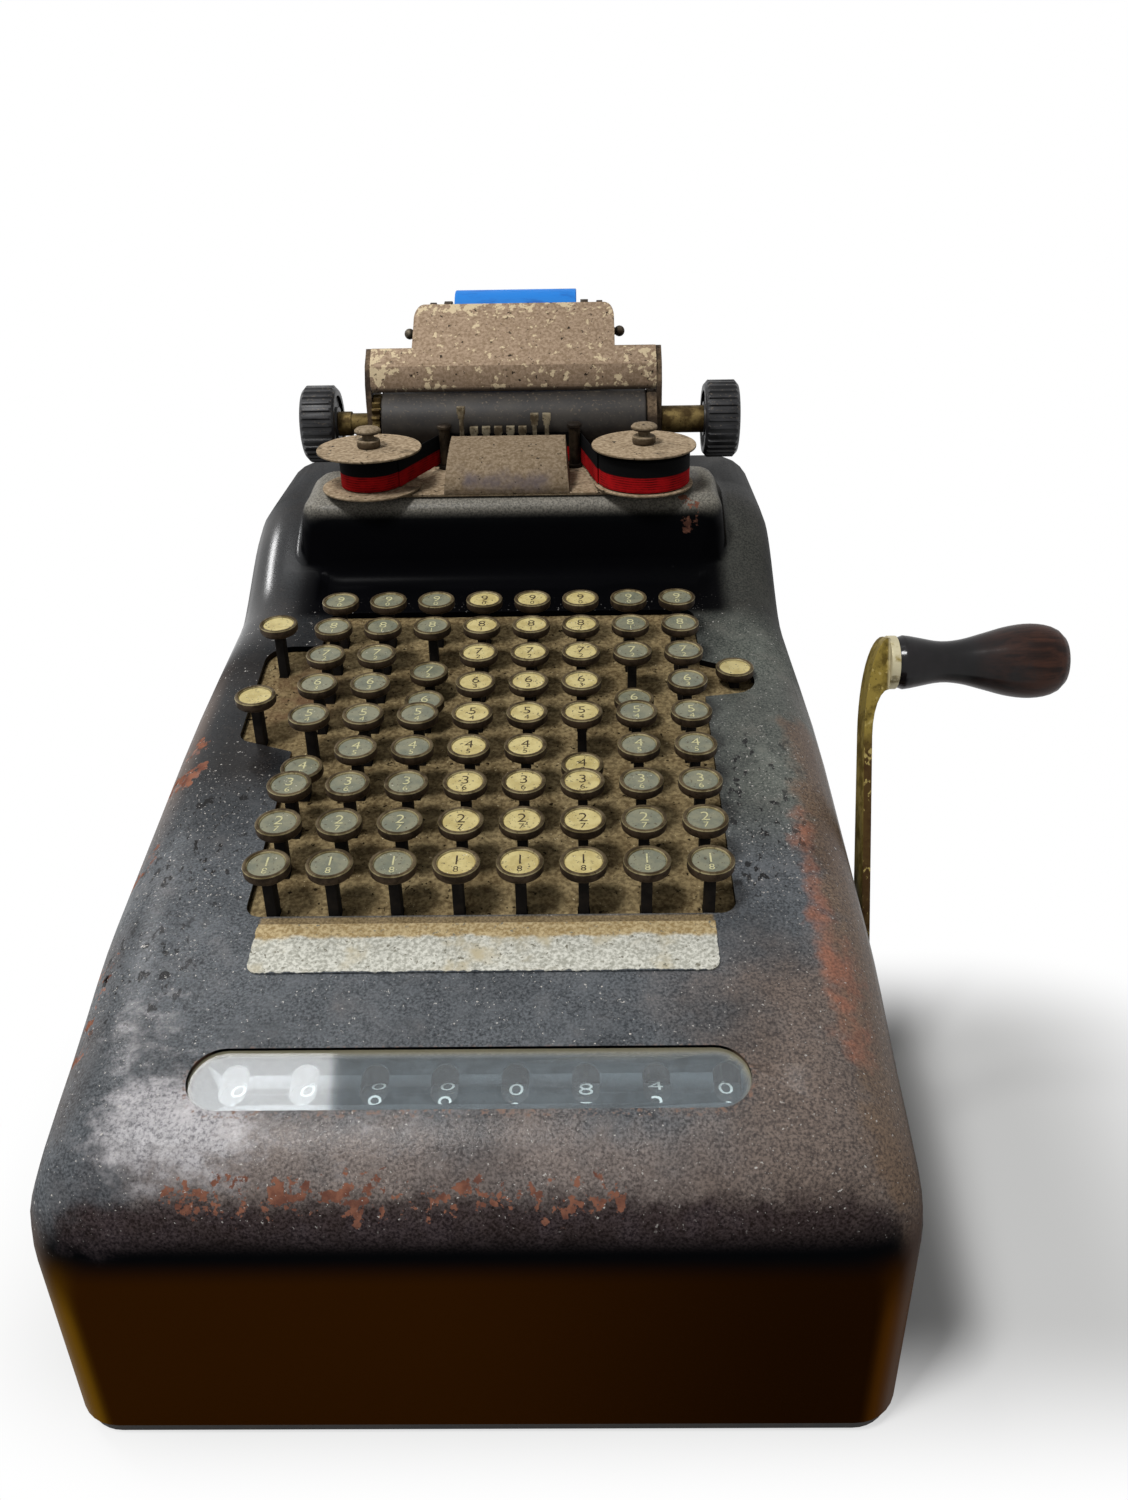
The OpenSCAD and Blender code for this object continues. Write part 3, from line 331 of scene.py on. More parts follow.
def dusty(name, finish, dust, grit_mm=1.5, cover=0.16, roughness=0.8, extra=()):
    """A worn finish under dust that lies thick on top and thin on upright faces."""
    # Dust turns any finish matt; the finish shows where it has been rubbed off edges and walls
    mat, tree, shader = new_material(name, {"Roughness": roughness, "Specular IOR Level": 0.15})
    grit = patches(tree, grit_mm, 0.34, 0.66, 4)
    lies = facing(tree, "Z", -0.4, 0.55, patches(tree, 12, 0.42 - cover, 0.62 - cover, 6))
    felt = coats(tree, dust[0], (grit, dust[1]))
    paint = coats(tree, coats(tree, finish[0], (patches(tree, 7, 0.35, 0.65, 5), finish[1])), (lies, felt))
    paint = coats(tree, paint, *((build(tree), code) for build, code in extra))
    paint = coats(tree, paint, (patches(tree, grit_mm * 1.8, 0.63, 0.69, 3, shift=(0, 0.2, 0)), "#261d14"))
    bump = add(tree, "Bump", {"Strength": 0.5, "Distance": 0.2 * MM, "Height": grit}).outputs["Normal"]
    fill(tree, shader, {"Base Color": paint, "Normal": bump})
    return mat


def metal(name, bright, tarnish, roughness=0.4, metallic=1.0, cover=0.0, extra=()):
    """Metal gone dull: bright where hands rub it, tarnish elsewhere, and other tones where they are named."""
    # Tarnish kills the mirror, so the gloss breaks up in patches a few millimetres across
    mat, tree, shader = new_material(name, {"Metallic": metallic, "Specular IOR Level": 0.15})
    spots = patches(tree, 6, 0.42 - cover, 0.64 - cover, 6)
    paint = coats(tree, bright, (spots, tarnish), (patches(tree, 1.3, 0.60, 0.68, 3), tarnish))
    paint = coats(tree, paint, *((build(tree), code) for build, code in extra))
    dull = add(tree, "MapRange", {"Value": spots, "To Min": roughness, "To Max": roughness + 0.22}).outputs["Result"]
    bump = add(tree, "Bump", {"Strength": 0.25, "Distance": 0.08 * MM,
                              "Height": patches(tree, 0.9, 0.4, 0.6, 3)}).outputs["Normal"]
    fill(tree, shader, {"Base Color": paint, "Roughness": dull, "Normal": bump})
    return mat


def hard_rubber(name, dark, worn, roughness=0.5, dust="#6a5f51"):
    """Ebonite or platen rubber, dried grey in patches, with dust in its pores."""
    # Old rubber is near black and satin, and greys where it has dried
    mat, tree, shader = new_material(name, {"Roughness": roughness, "Specular IOR Level": 0.3})
    pores = patches(tree, 1.2, 0.58, 0.74, 2, facing(tree, "Z", -0.2, 0.9))
    paint = coats(tree, dark, (patches(tree, 9, 0.38, 0.66, 6), worn), (pores, dust))
    bump = add(tree, "Bump", {"Strength": 0.25, "Distance": 0.1 * MM, "Height": pores}).outputs["Normal"]
    fill(tree, shader, {"Base Color": paint, "Normal": bump})
    return mat


def celluloid_disc(name, card, aged):
    """Printed card under a celluloid cap, yellowed in blotches and grimy in fine specks."""
    # Celluloid is a clear smooth plastic: a soft gloss over the card's flat colour
    mat, tree, shader = new_material(name, {"Roughness": 0.5, "Specular IOR Level": 0.2, "Coat Weight": 0.25,
                                            "Coat Roughness": 0.2})
    blotch = patches(tree, 5, 0.38, 0.66, 5)
    paint = coats(tree, tuple(card), (blotch, aged), (patches(tree, 1.1, 0.60, 0.68, 3), "#4a4230"),
                  (patches(tree, 0.9, 0.70, 0.74, 2, shift=(0.1, 0, 0)), "#d8d3c0"))
    fill(tree, shader, {"Base Color": paint})
    return mat


def printing_ink(name, code, worn):
    """Printing ink on the card, broken where it has worn."""
    # Ink is matt and thin, so the card shows through it in specks
    mat, tree, shader = new_material(name, {"Roughness": 0.6, "Specular IOR Level": 0.2})
    fill(tree, shader, {"Base Color": coats(tree, code, (patches(tree, 1.0, 0.5, 0.72, 3), worn))})
    return mat


def lacquered_beech():
    """Turned beech under black lacquer, rubbed through to brown at the end of the grip."""
    # Lacquer is a wet-looking clear coat; where hands wear it off, the grain shows matt and brown
    mat, tree, shader = new_material("lacquered_beech", {"Roughness": 0.5, "Specular IOR Level": 0.05,
                                                         "Coat Roughness": 0.14})
    along = add(tree, "SeparateXYZ", {0: add(tree, "TexCoord").outputs["Object"]}).outputs["X"]
    neck, tip = 0.164, 0.186
    end = add(tree, "MapRange", {"Value": along, "From Min": neck, "From Max": tip}).outputs["Result"]
    grain = patches(tree, 2.6, 0.36, 0.64, 6, stretch=(0.12, 1, 1))
    rubbed = patches(tree, 16, 0.24, 0.5, 5, end)
    below = facing(tree, "Z", -0.2, -0.9, 0.7)
    wood = coats(tree, "#20130f", (grain, "#43291f"))
    paint = coats(tree, coats(tree, "#080607", (patches(tree, 9, 0.4, 0.7), "#141012")), (rubbed, wood),
                  (below, "#31150b"))
    gloss = add(tree, "MapRange", {"Value": rubbed, "To Min": 0.42, "To Max": 0.15}).outputs["Result"]
    bump = add(tree, "Bump", {"Strength": 0.12, "Distance": 0.1 * MM, "Height": grain}).outputs["Normal"]
    fill(tree, shader, {"Base Color": paint, "Coat Weight": gloss, "Normal": bump})
    return mat


def inked_cotton(colours):
    """Half-inch cotton ribbon, inked black on the upper half and red on the lower."""
    # Ink soaks into the weave, so the cloth is matt; threads are drawn 1 mm apart, three times coarser, to show
    mat, tree, shader = new_material("inked_cotton", {"Roughness": 0.9, "Specular IOR Level": 0.08})
    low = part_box("right_ribbon")[0][2]
    spot = add(tree, "TexCoord").outputs["Object"]
    height = add(tree, "SeparateXYZ", {0: spot}).outputs["Z"]
    upper = add(tree, "MapRange", {"Value": height, "From Min": low + 6.0 * MM, "From Max": low + 6.5 * MM}).outputs[0]
    lines = add(tree, "TexWave", {"Vector": spot, "Scale": 310.0, "Distortion": 1.5, "Detail": 2.0},
                bands_direction="Z").outputs["Fac"]
    shade = patches(tree, 6, 0.3, 0.7, 4, lines)
    red = coats(tree, tuple(colours.red_ink), (shade, "#4a0608"))
    bump = add(tree, "Bump", {"Strength": 0.25, "Distance": 0.1 * MM, "Height": lines}).outputs["Normal"]
    fill(tree, shader, {"Base Color": coats(tree, red, (upper, tuple(colours.black_ink))), "Normal": bump})
    return mat


def window_glass():
    """Thin window glass with a haze of dust, thicker along its rim."""
    # Clear glass mirrors the lamps and shows the wheels; dust makes it milky, and lamps pass through it
    mat, tree, shader = new_material("dusty_window_glass", {"Roughness": 0.05, "IOR": 1.5})
    rim = add(tree, "MapRange", {"Value": from_window(tree), "From Min": 7.2 * MM, "From Max": 9.8 * MM},
              interpolation_type="SMOOTHSTEP").outputs["Result"]
    haze = patches(tree, 1.2, 0.3, 0.8, 5, patches(tree, 24, 0.2, 0.8, 5))
    dust = add(tree, "Math", {0: haze, 1: 0.10, 2: add(tree, "Math", {0: rim, 1: 0.4, 2: 0.04},
                                                       operation="MULTIPLY_ADD").outputs[0]},
               operation="MULTIPLY_ADD").outputs[0]
    clear = add(tree, "Math", {0: 1.0, 1: dust}, operation="SUBTRACT").outputs[0]
    fill(tree, shader, {"Base Color": coats(tree, "#d6dee3", (rim, "#aba488")), "Transmission Weight": clear})
    passing = add(tree, "BsdfTransparent", {"Color": "#dfe4e4"})
    mix = add(tree, "MixShader", {0: add(tree, "LightPath").outputs["Is Shadow Ray"], 1: shader.outputs[0],
                                  2: passing.outputs[0]})
    tree.links.new(mix.outputs[0], tree.nodes["Material Output"].inputs["Surface"])
    return mat


def wrapper_paper(colours):
    """Blue wrapper of a paper roll, a little scuffed along its length."""
    # Coated paper is even in colour with a faint satin shine
    mat, tree, shader = new_material("blue_wrapper_paper", {"Roughness": 0.55, "Specular IOR Level": 0.2})
    scuff = patches(tree, 5, 0.45, 0.75, 5, stretch=(0.3, 1, 1))
    fill(tree, shader, {"Base Color": coats(tree, tuple(colours.paper), (scuff, "#1a5cae"))})
    return mat


def lacquered_card():
    """Blank strip of pale lacquered card, speckled, brown along its rear edge and frayed where it has lifted."""
    # Worn card is pale and matt with dark specks, and its edge breaks up over a few millimetres
    mat, tree, shader = new_material("pale_lacquered_card", {"Roughness": 0.8, "Specular IOR Level": 0.15})
    grit = patches(tree, 1.1, 0.36, 0.64, 4)
    inside = places(tree, (1.2, {"X": (-68.2, 69.2), "Y": (-135.0, -100)}, 1.0))
    whole = ragged(tree, inside, 3.0, 0.78, 0.98, 6)
    rear = ragged(tree, places(tree, (2.4, {"Y": (-122.0, -100)}, 1.0)), 7, 0.75, 1.25, 6)
    card = coats(tree, "#a5a498", (grit, "#dcdbd0"), (patches(tree, 14, 0.5, 0.72, 6), "#bfb497"),
                 (rear, coats(tree, "#9a8359", (grit, "#c9b58c"))),
                 (patches(tree, 1.6, 0.62, 0.68, 3, shift=(0.2, 0, 0)), "#7d7a6c"))
    paint = coats(tree, coats(tree, "#34383c", (grit, "#595d61")), (whole, card))
    bump = add(tree, "Bump", {"Strength": 0.3, "Distance": 0.15 * MM, "Height": grit}).outputs["Normal"]
    fill(tree, shader, {"Base Color": paint, "Normal": bump})
    return mat


# Mesh helpers


def merged(node, flat=0.5):
    """The node's surface with its doubles merged and its flat triangles joined."""
    bm = bmesh.new()
    bm.from_mesh(NODES[node].data)
    bmesh.ops.remove_doubles(bm, verts=bm.verts, dist=2e-6)
    bmesh.ops.dissolve_limit(bm, angle_limit=math.radians(flat), verts=bm.verts, edges=bm.edges)
    return bm


def ease_edges(bm, width_mm, angle=40, segments=2):
    """Small round on every edge sharper than the angle."""
    sharp = [e for e in bm.edges if e.is_manifold and e.calc_face_angle(0) > math.radians(angle)]
    bmesh.ops.bevel(bm, geom=sharp, offset=width_mm * MM, offset_type="OFFSET", affect="EDGES", segments=segments,
                    profile=0.5, material=-1, clamp_overlap=True)


def piece(name, bm, body, materials, stands_for=(), angle=35):
    """Object from a bmesh that rides on a body, smooth except at edges sharper than the angle."""
    mesh = bpy.data.meshes.new(name)
    bm.to_mesh(mesh)
    bm.free()
    for mat in materials:
        mesh.materials.append(mat)
    mesh.shade_smooth()
    mesh.set_sharp_from_angle(angle=math.radians(angle))
    obj = bpy.data.objects.new(name, mesh)
    bpy.context.scene.collection.objects.link(obj)
    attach(obj, body)
    if stands_for:
        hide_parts(*stands_for)
    return obj


def finish_solids(mat, *nodes):
    """Puts a material on CAD nodes that stay as they are."""
    for node in nodes:
        NODES[node].data.materials.clear()
        NODES[node].data.materials.append(mat)


def dress(node, mat, bevel_mm=0.0, angle=22, segments=2):
    """Smooth copy of a CAD node with eased edges, which stands for the node."""
    bm = merged(node)
    if bevel_mm:
        ease_edges(bm, bevel_mm, 40, segments)
    return piece(node + "_form", bm, BODY_OF[node], [mat], [node], angle)


def lathe(profile, steps=32, materials=None):
    """Turns a profile of (radius, height) in millimetres about Z; materials gives one index per stretch."""
    bm = bmesh.new()
    verts = [bm.verts.new((r * MM, 0, z * MM)) for r, z in profile]
    edges = [bm.edges.new(pair) for pair in zip(verts, verts[1:])]
    bmesh.ops.spin(bm, geom=verts + edges, cent=(0, 0, 0), axis=(0, 0, 1), angle=2 * math.pi, steps=steps,
                   use_merge=True, use_duplicate=False)
    bmesh.ops.remove_doubles(bm, verts=bm.verts, dist=1e-7)
    bmesh.ops.recalc_face_normals(bm, faces=bm.faces)
    if materials:
        spans = list(zip(profile, profile[1:]))
        for face in bm.faces:
            at = face.calc_center_median()
            here = (math.hypot(at.x, at.y) / MM / math.cos(math.pi / steps), at.z / MM)
            gaps = [abs((a[0] + b[0]) / 2 - here[0]) + abs((a[1] + b[1]) / 2 - here[1]) for a, b in spans]
            face.material_index = materials[gaps.index(min(gaps))]
    return bm


def block(middle, size, ease_mm):
    """Box with eased edges, its middle and its size in millimetres."""
    bm = bmesh.new()
    bmesh.ops.create_cube(bm, size=1, matrix=Matrix.Translation([v * MM for v in middle])
                          @ Matrix.Diagonal([v * MM for v in size] + [1]))
    ease_edges(bm, ease_mm)
    return bm


def stamp(bm, mesh, matrix):
    """Adds a copy of a mesh to a bmesh at a place."""
    copy = mesh.copy()
    copy.transform(matrix)
    bm.from_mesh(copy)
    bpy.data.meshes.remove(copy)


def as_mesh(name, bm):
    """Mesh to stamp from a bmesh."""
    mesh = bpy.data.meshes.new(name)
    bm.to_mesh(mesh)
    bm.free()
    return mesh


def figure_mesh(text, height, depth, bold=0.0):
    """A figure as a mesh, centred on the origin, lying in XY."""
    curve = bpy.data.curves.new("figure_" + text, "FONT")
    curve.body = text
    curve.size = height * FONT_SIZE
    curve.extrude = depth
    curve.offset = bold
    curve.resolution_u = 3
    obj = bpy.data.objects.new("figure_" + text, curve)
    bpy.context.scene.collection.objects.link(obj)
    mesh = bpy.data.meshes.new_from_object(obj.evaluated_get(bpy.context.evaluated_depsgraph_get()))
    bpy.data.objects.remove(obj)
    bpy.data.curves.remove(curve)
    xs = [v.co.x for v in mesh.vertices]
    ys = [v.co.y for v in mesh.vertices]
    mesh.transform(Matrix.Translation((-(min(xs) + max(xs)) / 2, -(min(ys) + max(ys)) / 2, 0)))
    return mesh


# Places of the keys and the number wheels, as in the solids


KEYS_MIDDLE = (0.0015, -0.034, 0.150)
LATCH_DROP = 0.0075
WHEEL_AXIS = (-0.170, 0.087)
WHEEL_RADIUS = 14.02 * MM
WINDOW_LEAN, FIGURE_STEP = 17, 36  # degrees
LATCHED = {(3, 7): "key_c3_r7", (3, 6): "key_c3_r6", (7, 6): "key_c7_r6", (6, 4): "key_c6_r4", (1, 4): "key_c1_r4"}
SIDE_KEYS = {"total_key": (-85.9, 21.3, 160.6), "sub_total_key": (-85.9, -23.5, 152.3), "repeat_key": (88.5, 11, 145)}


def key_place(sizes, column, row):
    """Middle of a key's top in metres."""
    along = (row - 5) * sizes.key_pitch
    drop = LATCH_DROP if (column, row) in LATCHED else 0.0
    x, y, z = KEYS_MIDDLE
    return Vector((x + (column - 4.5) * sizes.key_pitch, y + along * math.cos(sizes.key_slope),
                   z + along * math.sin(sizes.key_slope) - drop))


# Operators, one for each piece or group of like pieces


class MACHINE_OT_casing(Operator):
    """Makes the enamelled casing, the plate under it and the blank strip on the deck"""
    bl_idname = "adding_machine.casing"
    bl_label = "Casing"

    def execute(self, context):
        enamel = stoving_enamel(context.scene.machine_colours)
        piece("main_casing_form", merged("main_casing", 0.05), "machine", [enamel],
              ["main_casing"], 32)
        dress("base_plate", hard_rubber("black_base_paint", "#0d0b0a", "#1d1712", 0.6), 0.6)
        dress("instruction_plate", lacquered_card(), 0.15)
        return {"FINISHED"}


class MACHINE_OT_key_plate(Operator):
    """Makes the dusty plate under the keys"""
    bl_idname = "adding_machine.key_plate"
    bl_label = "Key plate"

    def execute(self, context):
        dress("key_plate", dust_felt(context.scene.machine_colours))
        return {"FINISHED"}


class MACHINE_OT_keys(Operator):
    """Makes the keys: bronzed cups on flat stems, with printed discs and their figures"""
    bl_idname = "adding_machine.keys"
    bl_label = "Keys"

    def execute(self, context):
        sizes, colours = context.scene.machine_sizes, context.scene.machine_colours
        cups = [metal("bronzed_cup_steel", "#44372a", "#231a10", 0.5, 0.2),
                metal("browned_rim_brass", "#5a4d36", "#352a18", 0.42, 0.3, 0.02),
                metal("oiled_stem_steel", "#150f09", "#090604", 0.6, 0.0, 0.1),
                metal("pale_edged_rim_brass", "#a39872", "#6d6142", 0.4, 0.35)]
        discs = {"cream": celluloid_disc("cream_celluloid", colours.cream, "#b3a268"),
                 "grey": celluloid_disc("grey_celluloid", colours.grey, "#696c5c")}
        inks = {"cream": printing_ink("brown_figure_ink", "#33281a", "#6b5d3f"),
                "grey": printing_ink("pale_figure_ink", "#c9c497", "#98967a")}
        rim = sizes.key_diameter / 2 / MM
        outline = [(0.01, -1.1), (rim - 1.5, -1.1), (rim - 1.45, -0.55), (rim - 1.25, -0.18), (rim - 0.95, 0),
                   (rim - 0.45, 0), (rim - 0.15, -0.12), (rim, -0.45), (rim, -2.6), (rim - 0.15, -3.1),
                   (rim - 0.6, -3.6), (rim - 1.3, -3.95), (2.6, -4.5), (0.01, -4.5)]
        # The cup is bronzed inside and out, its rim brass, lighter to both sides of the crown
        cup = as_mesh("cup", lathe(outline, 32, [0, 3, 3, 1, 1, 1, 3, 0, 0, 0, 0, 0, 0]))
        face = as_mesh("disc", lathe([(0.01, -0.64), (3.2, -0.62), (4.6, -0.57), (rim - 1.65, -0.6),
                                      (rim - 1.47, -0.8), (rim - 1.47, -1.15)], 32))
        stem = block((0, 0, -27.6), (3.2, 5.5, 48.8), 0.2)
        for f in stem.faces:
            f.material_index = 2
        stem = as_mesh("stem", stem)
        thin = -0.06 * MM
        large = {n: figure_mesh(str(n), sizes.figure_height, 0.03 * MM, thin) for n in range(10)}
        small = {n: figure_mesh(str(n), sizes.figure_height * 0.6, 0.03 * MM, thin * 0.5) for n in range(10)}
        tilt = Matrix.Rotation(sizes.key_tilt, 4, "X")

        def make(node, keys):
            parts = {"cups": bmesh.new()}
            for spot, kind, row in keys:
                at = Matrix.Translation(spot)
                stamp(parts["cups"], cup, at @ tilt)
                stamp(parts["cups"], stem, at)
                stamp(parts.setdefault("disc_" + kind, bmesh.new()), face, at @ tilt)
                if row:
                    ink = parts.setdefault("figure_" + kind, bmesh.new())
                    stamp(ink, large[row], at @ tilt @ Matrix.Translation((0, 1.4 * MM, -0.59 * MM)))
                    stamp(ink, small[9 - row], at @ tilt @ Matrix.Translation((0, -3.0 * MM, -0.58 * MM)))
            for part, bm in parts.items():
                kind = part.split("_")[-1]
                mats = cups if part == "cups" else [inks[kind] if part.startswith("figure") else discs[kind]]
                piece(node + "_" + part, bm, node, mats, [node] if part == "cups" else [])

        def kind_of(column):
            return "cream" if 4 <= column <= 6 else "grey"

        for row in range(1, 10):
            make("key_row_%d" % row, [(key_place(sizes, c, row), kind_of(c), row) for c in range(1, 9)
                                      if (c, row) not in LATCHED])
        for (column, row), node in LATCHED.items():
            make(node, [(key_place(sizes, column, row), kind_of(column), row)])
        for node, spot in SIDE_KEYS.items():
            make(node, [(Vector(spot) * MM, "cream", 0)])
        return {"FINISHED"}


class MACHINE_OT_register(Operator):
    """Makes the dial window's glass, its mask and the figures on the number wheels"""
    bl_idname = "adding_machine.register"
    bl_label = "Dial window"

    def execute(self, context):
        sizes = context.scene.machine_sizes
        dress("window_glass", window_glass(), 0.0, angle=20)
        dress("dial_mask", metal("grey_mask_paint", "#474e52", "#393f43", 0.6, 0.0))
        dark = hard_rubber("dark_wheel_enamel", "#24292b", "#31373a", 0.4)
        pale = printing_ink("pale_wheel_figure", "#e2e6e0", "#c3c8c2")
        # Each wheel's figure in the window, and how far it has turned past it in degrees
        shown = [(0, 0), (0, 0), (0, -12), (0, -10), (0, 0), (8, 0), (4, -8), (0, 0)]
        figures = {n: figure_mesh(str(n), sizes.wheel_figure, 0.04 * MM, -0.1 * MM) for n in range(10)}
        for i, (value, past) in enumerate(shown):
            node = "number_wheel_%d" % (i + 1)
            finish_solids(dark, node)
            bm = bmesh.new()
            centre = Matrix.Translation((KEYS_MIDDLE[0] + (i - 3.5) * sizes.key_pitch, *WHEEL_AXIS))
            for n in range(10):
                turn = math.radians(past - WINDOW_LEAN - (n - value) * FIGURE_STEP)
                stamp(bm, figures[n], centre @ Matrix.Rotation(turn, 4, "X")
                      @ Matrix.Translation((0, 0, WHEEL_RADIUS)))
            piece(node + "_figures", bm, node, [pale])
        return {"FINISHED"}


class MACHINE_OT_frames(Operator):
    """Gives the frames, rods, guides and bars inside the casing their finish"""
    bl_idname = "adding_machine.frames"
    bl_label = "Inner frames"

    def execute(self, context):
        steel = metal("oiled_mild_steel", "#6f675a", "#3a2e22", 0.42, 1.0, 0.1)
        finish_solids(steel, "side_frames", "frame_rods", "key_guide_plate", "stop_bars")
        return {"FINISHED"}


class MACHINE_OT_ribbon(Operator):
    """Makes the ribbon spools, the ribbon, its posts and the thumb nuts"""
    bl_idname = "adding_machine.ribbon"
    bl_label = "Ribbon and spools"

    def execute(self, context):
        sizes, colours = context.scene.machine_sizes, context.scene.machine_colours
        nickel = dusty("dusty_spool_nickel", ("#5f5240", "#3c3022"), ("#86735a", "#b5a186"), 1.6, 0.18, 0.75)
        cloth = inked_cotton(colours)
        dark = metal("browned_steel", "#3a3024", "#1a140e", 0.45, 0.4, 0.05)
        nuts = dusty("dusty_nut_steel", ("#4a3e2f", "#2e251b"), ("#6f6049", "#988770"), 1.2, 0.14, 0.7)
        for node in ("left_spool", "right_spool"):
            dress(node, nickel, 0.25)
        # The plate ends at the start of the hood's rounded edge, which lies open in front of it
        hood_edge = 92.3 * MM
        bm = merged("spool_plate")
        cut = bmesh.ops.bisect_plane(bm, geom=bm.verts[:] + bm.edges[:] + bm.faces[:], plane_co=(0, hood_edge, 0),
                                     plane_no=(0, -1, 0), clear_outer=True)["geom_cut"]
        bmesh.ops.holes_fill(bm, edges=[e for e in cut if isinstance(e, bmesh.types.BMEdge)])
        ease_edges(bm, 0.3)
        piece("spool_plate_form", bm, BODY_OF["spool_plate"], [nickel], ["spool_plate"], 22)
        dress("spool_spindles", nuts, 0.12)
        dress("ribbon_posts", dark, 0.12)
        for node in ("left_ribbon", "right_ribbon"):
            dress(node, cloth, 0.2)
        strand = dress("ribbon_strand", cloth, 0.0)
        return {"FINISHED"}


class MACHINE_OT_type_head(Operator):
    """Makes the cover in front of the type and the type bars"""
    bl_idname = "adding_machine.type_head"
    bl_label = "Type head"

    def execute(self, context):
        worn = (lambda tree: ragged(tree, places(tree, (4, {"X": (-20, 18), "Z": (189, 197)}, 0.6)), 8, 0.6, 1.5),
                "#5d555a")
        cover_paint = dusty("dusty_cover_paint", ("#574838", "#3d3228"), ("#71604a", "#92816b"), 1.4, 0.2, 0.8, [worn])
        dress("type_cover", cover_paint, 1.8, angle=40, segments=4)
        dress("type_bars", metal("type_steel", "#978c74", "#4f4332", 0.45, 0.4, 0.05), 0.15)
        return {"FINISHED"}


class MACHINE_OT_carriage(Operator):
    """Makes the platen, its shaft and knobs, the carriage plates and the paper table"""
    bl_idname = "adding_machine.carriage"
    bl_label = "Carriage"

    def execute(self, context):
        brown = dusty("worn_brown_enamel", ("#2a221b", "#3a2e23"), ("#4d3f30", "#7d6a54"), 1.6, 0.06, 0.7)
        worn = (
            (4, {"Z": (246, 270)}, 0.42), (5, {"X": (-80, -52)}, 0.40), (5, {"X": (55, 80)}, 0.40),
            (2, {"Z": (219, 223)}, 0.40), (4, {"Z": (200, 270)}, 0.28))
        flecks = (lambda tree: ragged(tree, places(tree, *worn), 3.6, 0.93, 0.97, 6), "#d0bd9b")
        # Painted shadow: the table's folded lower edge, below 220.6 mm, is painted near black
        shade = (lambda tree: places(tree, (1.2, {"Z": (200, 220.6)}, 0.9)), "#1d1610")
        table = dusty("dusty_table_enamel", ("#5a493a", "#6f5c4a"), ("#89745d", "#ad967f"), 1.4, 0.24, 0.8,
                      [flecks, shade])
        dress("platen", hard_rubber("platen_rubber", "#191512", "#2b2620", 0.5, "#5a4f40"), 0.0)
        dress("platen_shaft", metal("brown_brass", "#6f5e38", "#3f3119", 0.45, 0.5, 0.05), 0.15)
        dress("platen_knobs", hard_rubber("ebonite", "#131315", "#2a2a2c", 0.4), 0.2)
        for node in ("left_carriage_plate", "roll_arms"):
            dress(node, brown, 0.3)
        # Boss that holds the shaft, on the right plate's inner face
        boss = as_mesh("boss", lathe([(5.2, 0), (13.2, 0), (13.8, 0.4), (13.8, 4.4), (5.2, 4.4), (5.2, 0)], 48))
        bm = merged("right_carriage_plate")
        ease_edges(bm, 0.3)
        inner_face = Matrix.Translation((60.65 * MM, 150 * MM, 204 * MM))
        stamp(bm, boss, inner_face @ Matrix.Rotation(math.radians(90), 4, "Y"))
        piece("right_carriage_plate_form", bm, BODY_OF["right_carriage_plate"], [brown],
              ["right_carriage_plate"], 22)
        # The table's lower edge is folded down just in front of the platen's crown
        fold = block((1.2, 145.35, 220.2), (127.2, 0.9, 2.8), 0.25)
        bm = merged("paper_table")
        ease_edges(bm, 0.25)
        stamp(bm, as_mesh("fold", fold), Matrix())
        piece("paper_table_form", bm, BODY_OF["paper_table"], [table], ["paper_table"])
        steel = metal("dull_carriage_steel", "#5c564a", "#352a20", 0.45, 0.8, 0.1)
        for node in ("table_rod", "roll_spindle", "feed_roller"):
            dress(node, steel, 0.2)
        return {"FINISHED"}


class MACHINE_OT_paper(Operator):
    """Makes the paper roll"""
    bl_idname = "adding_machine.paper"
    bl_label = "Paper roll"

    def execute(self, context):
        dress("paper_roll", wrapper_paper(context.scene.machine_colours), 0.0)
        return {"FINISHED"}


class MACHINE_OT_crank(Operator):
    """Makes the crank: brass arm, turned grip, bush and shaft"""
    bl_idname = "adding_machine.crank"
    bl_label = "Crank"

    def execute(self, context):
        colours = context.scene.machine_colours
        front = (lambda tree: facing(tree, "Y", -0.55, -0.9, places(tree, (5, {"Z": (0, 140)}, 0.9))), "#3b2512")
        hollow = (lambda tree: facing(tree, "X", 0.25, 0.7, places(tree, (5, {"Z": (125, 165)}, 0.9))), "#43210f")
        chips = (lambda tree: patches(tree, 2.4, 0.58, 0.63, 4, facing(tree, "Y", -0.55, -0.9), (1, 1, 0.6)), "#a8965a")
        ring = (0.6, {"X": (135.6, 142), "Z": (140, 200)}, 1.0)
        collar = (lambda tree: patches(tree, 4, 0.25, 0.5, 4, places(tree, ring)), "#c9c0a0")
        arm = metal("olive_brass", tuple(colours.brass), "#5a4b20", 0.45, 0.35, 0.0, [front, hollow, chips, collar])
        dress("crank_arm", arm, 0.6)
        dress("crank_bush", metal("dull_brass", tuple(colours.brass), "#3b3018", 0.45, 0.6, 0.05), 0.3)
        dress("crank_shaft", metal("dull_shaft_steel", "#5c564a", "#2c231a", 0.45, 1.0, 0.1), 0.3)
        dress("crank_grip", lacquered_beech(), 0.0)
        return {"FINISHED"}


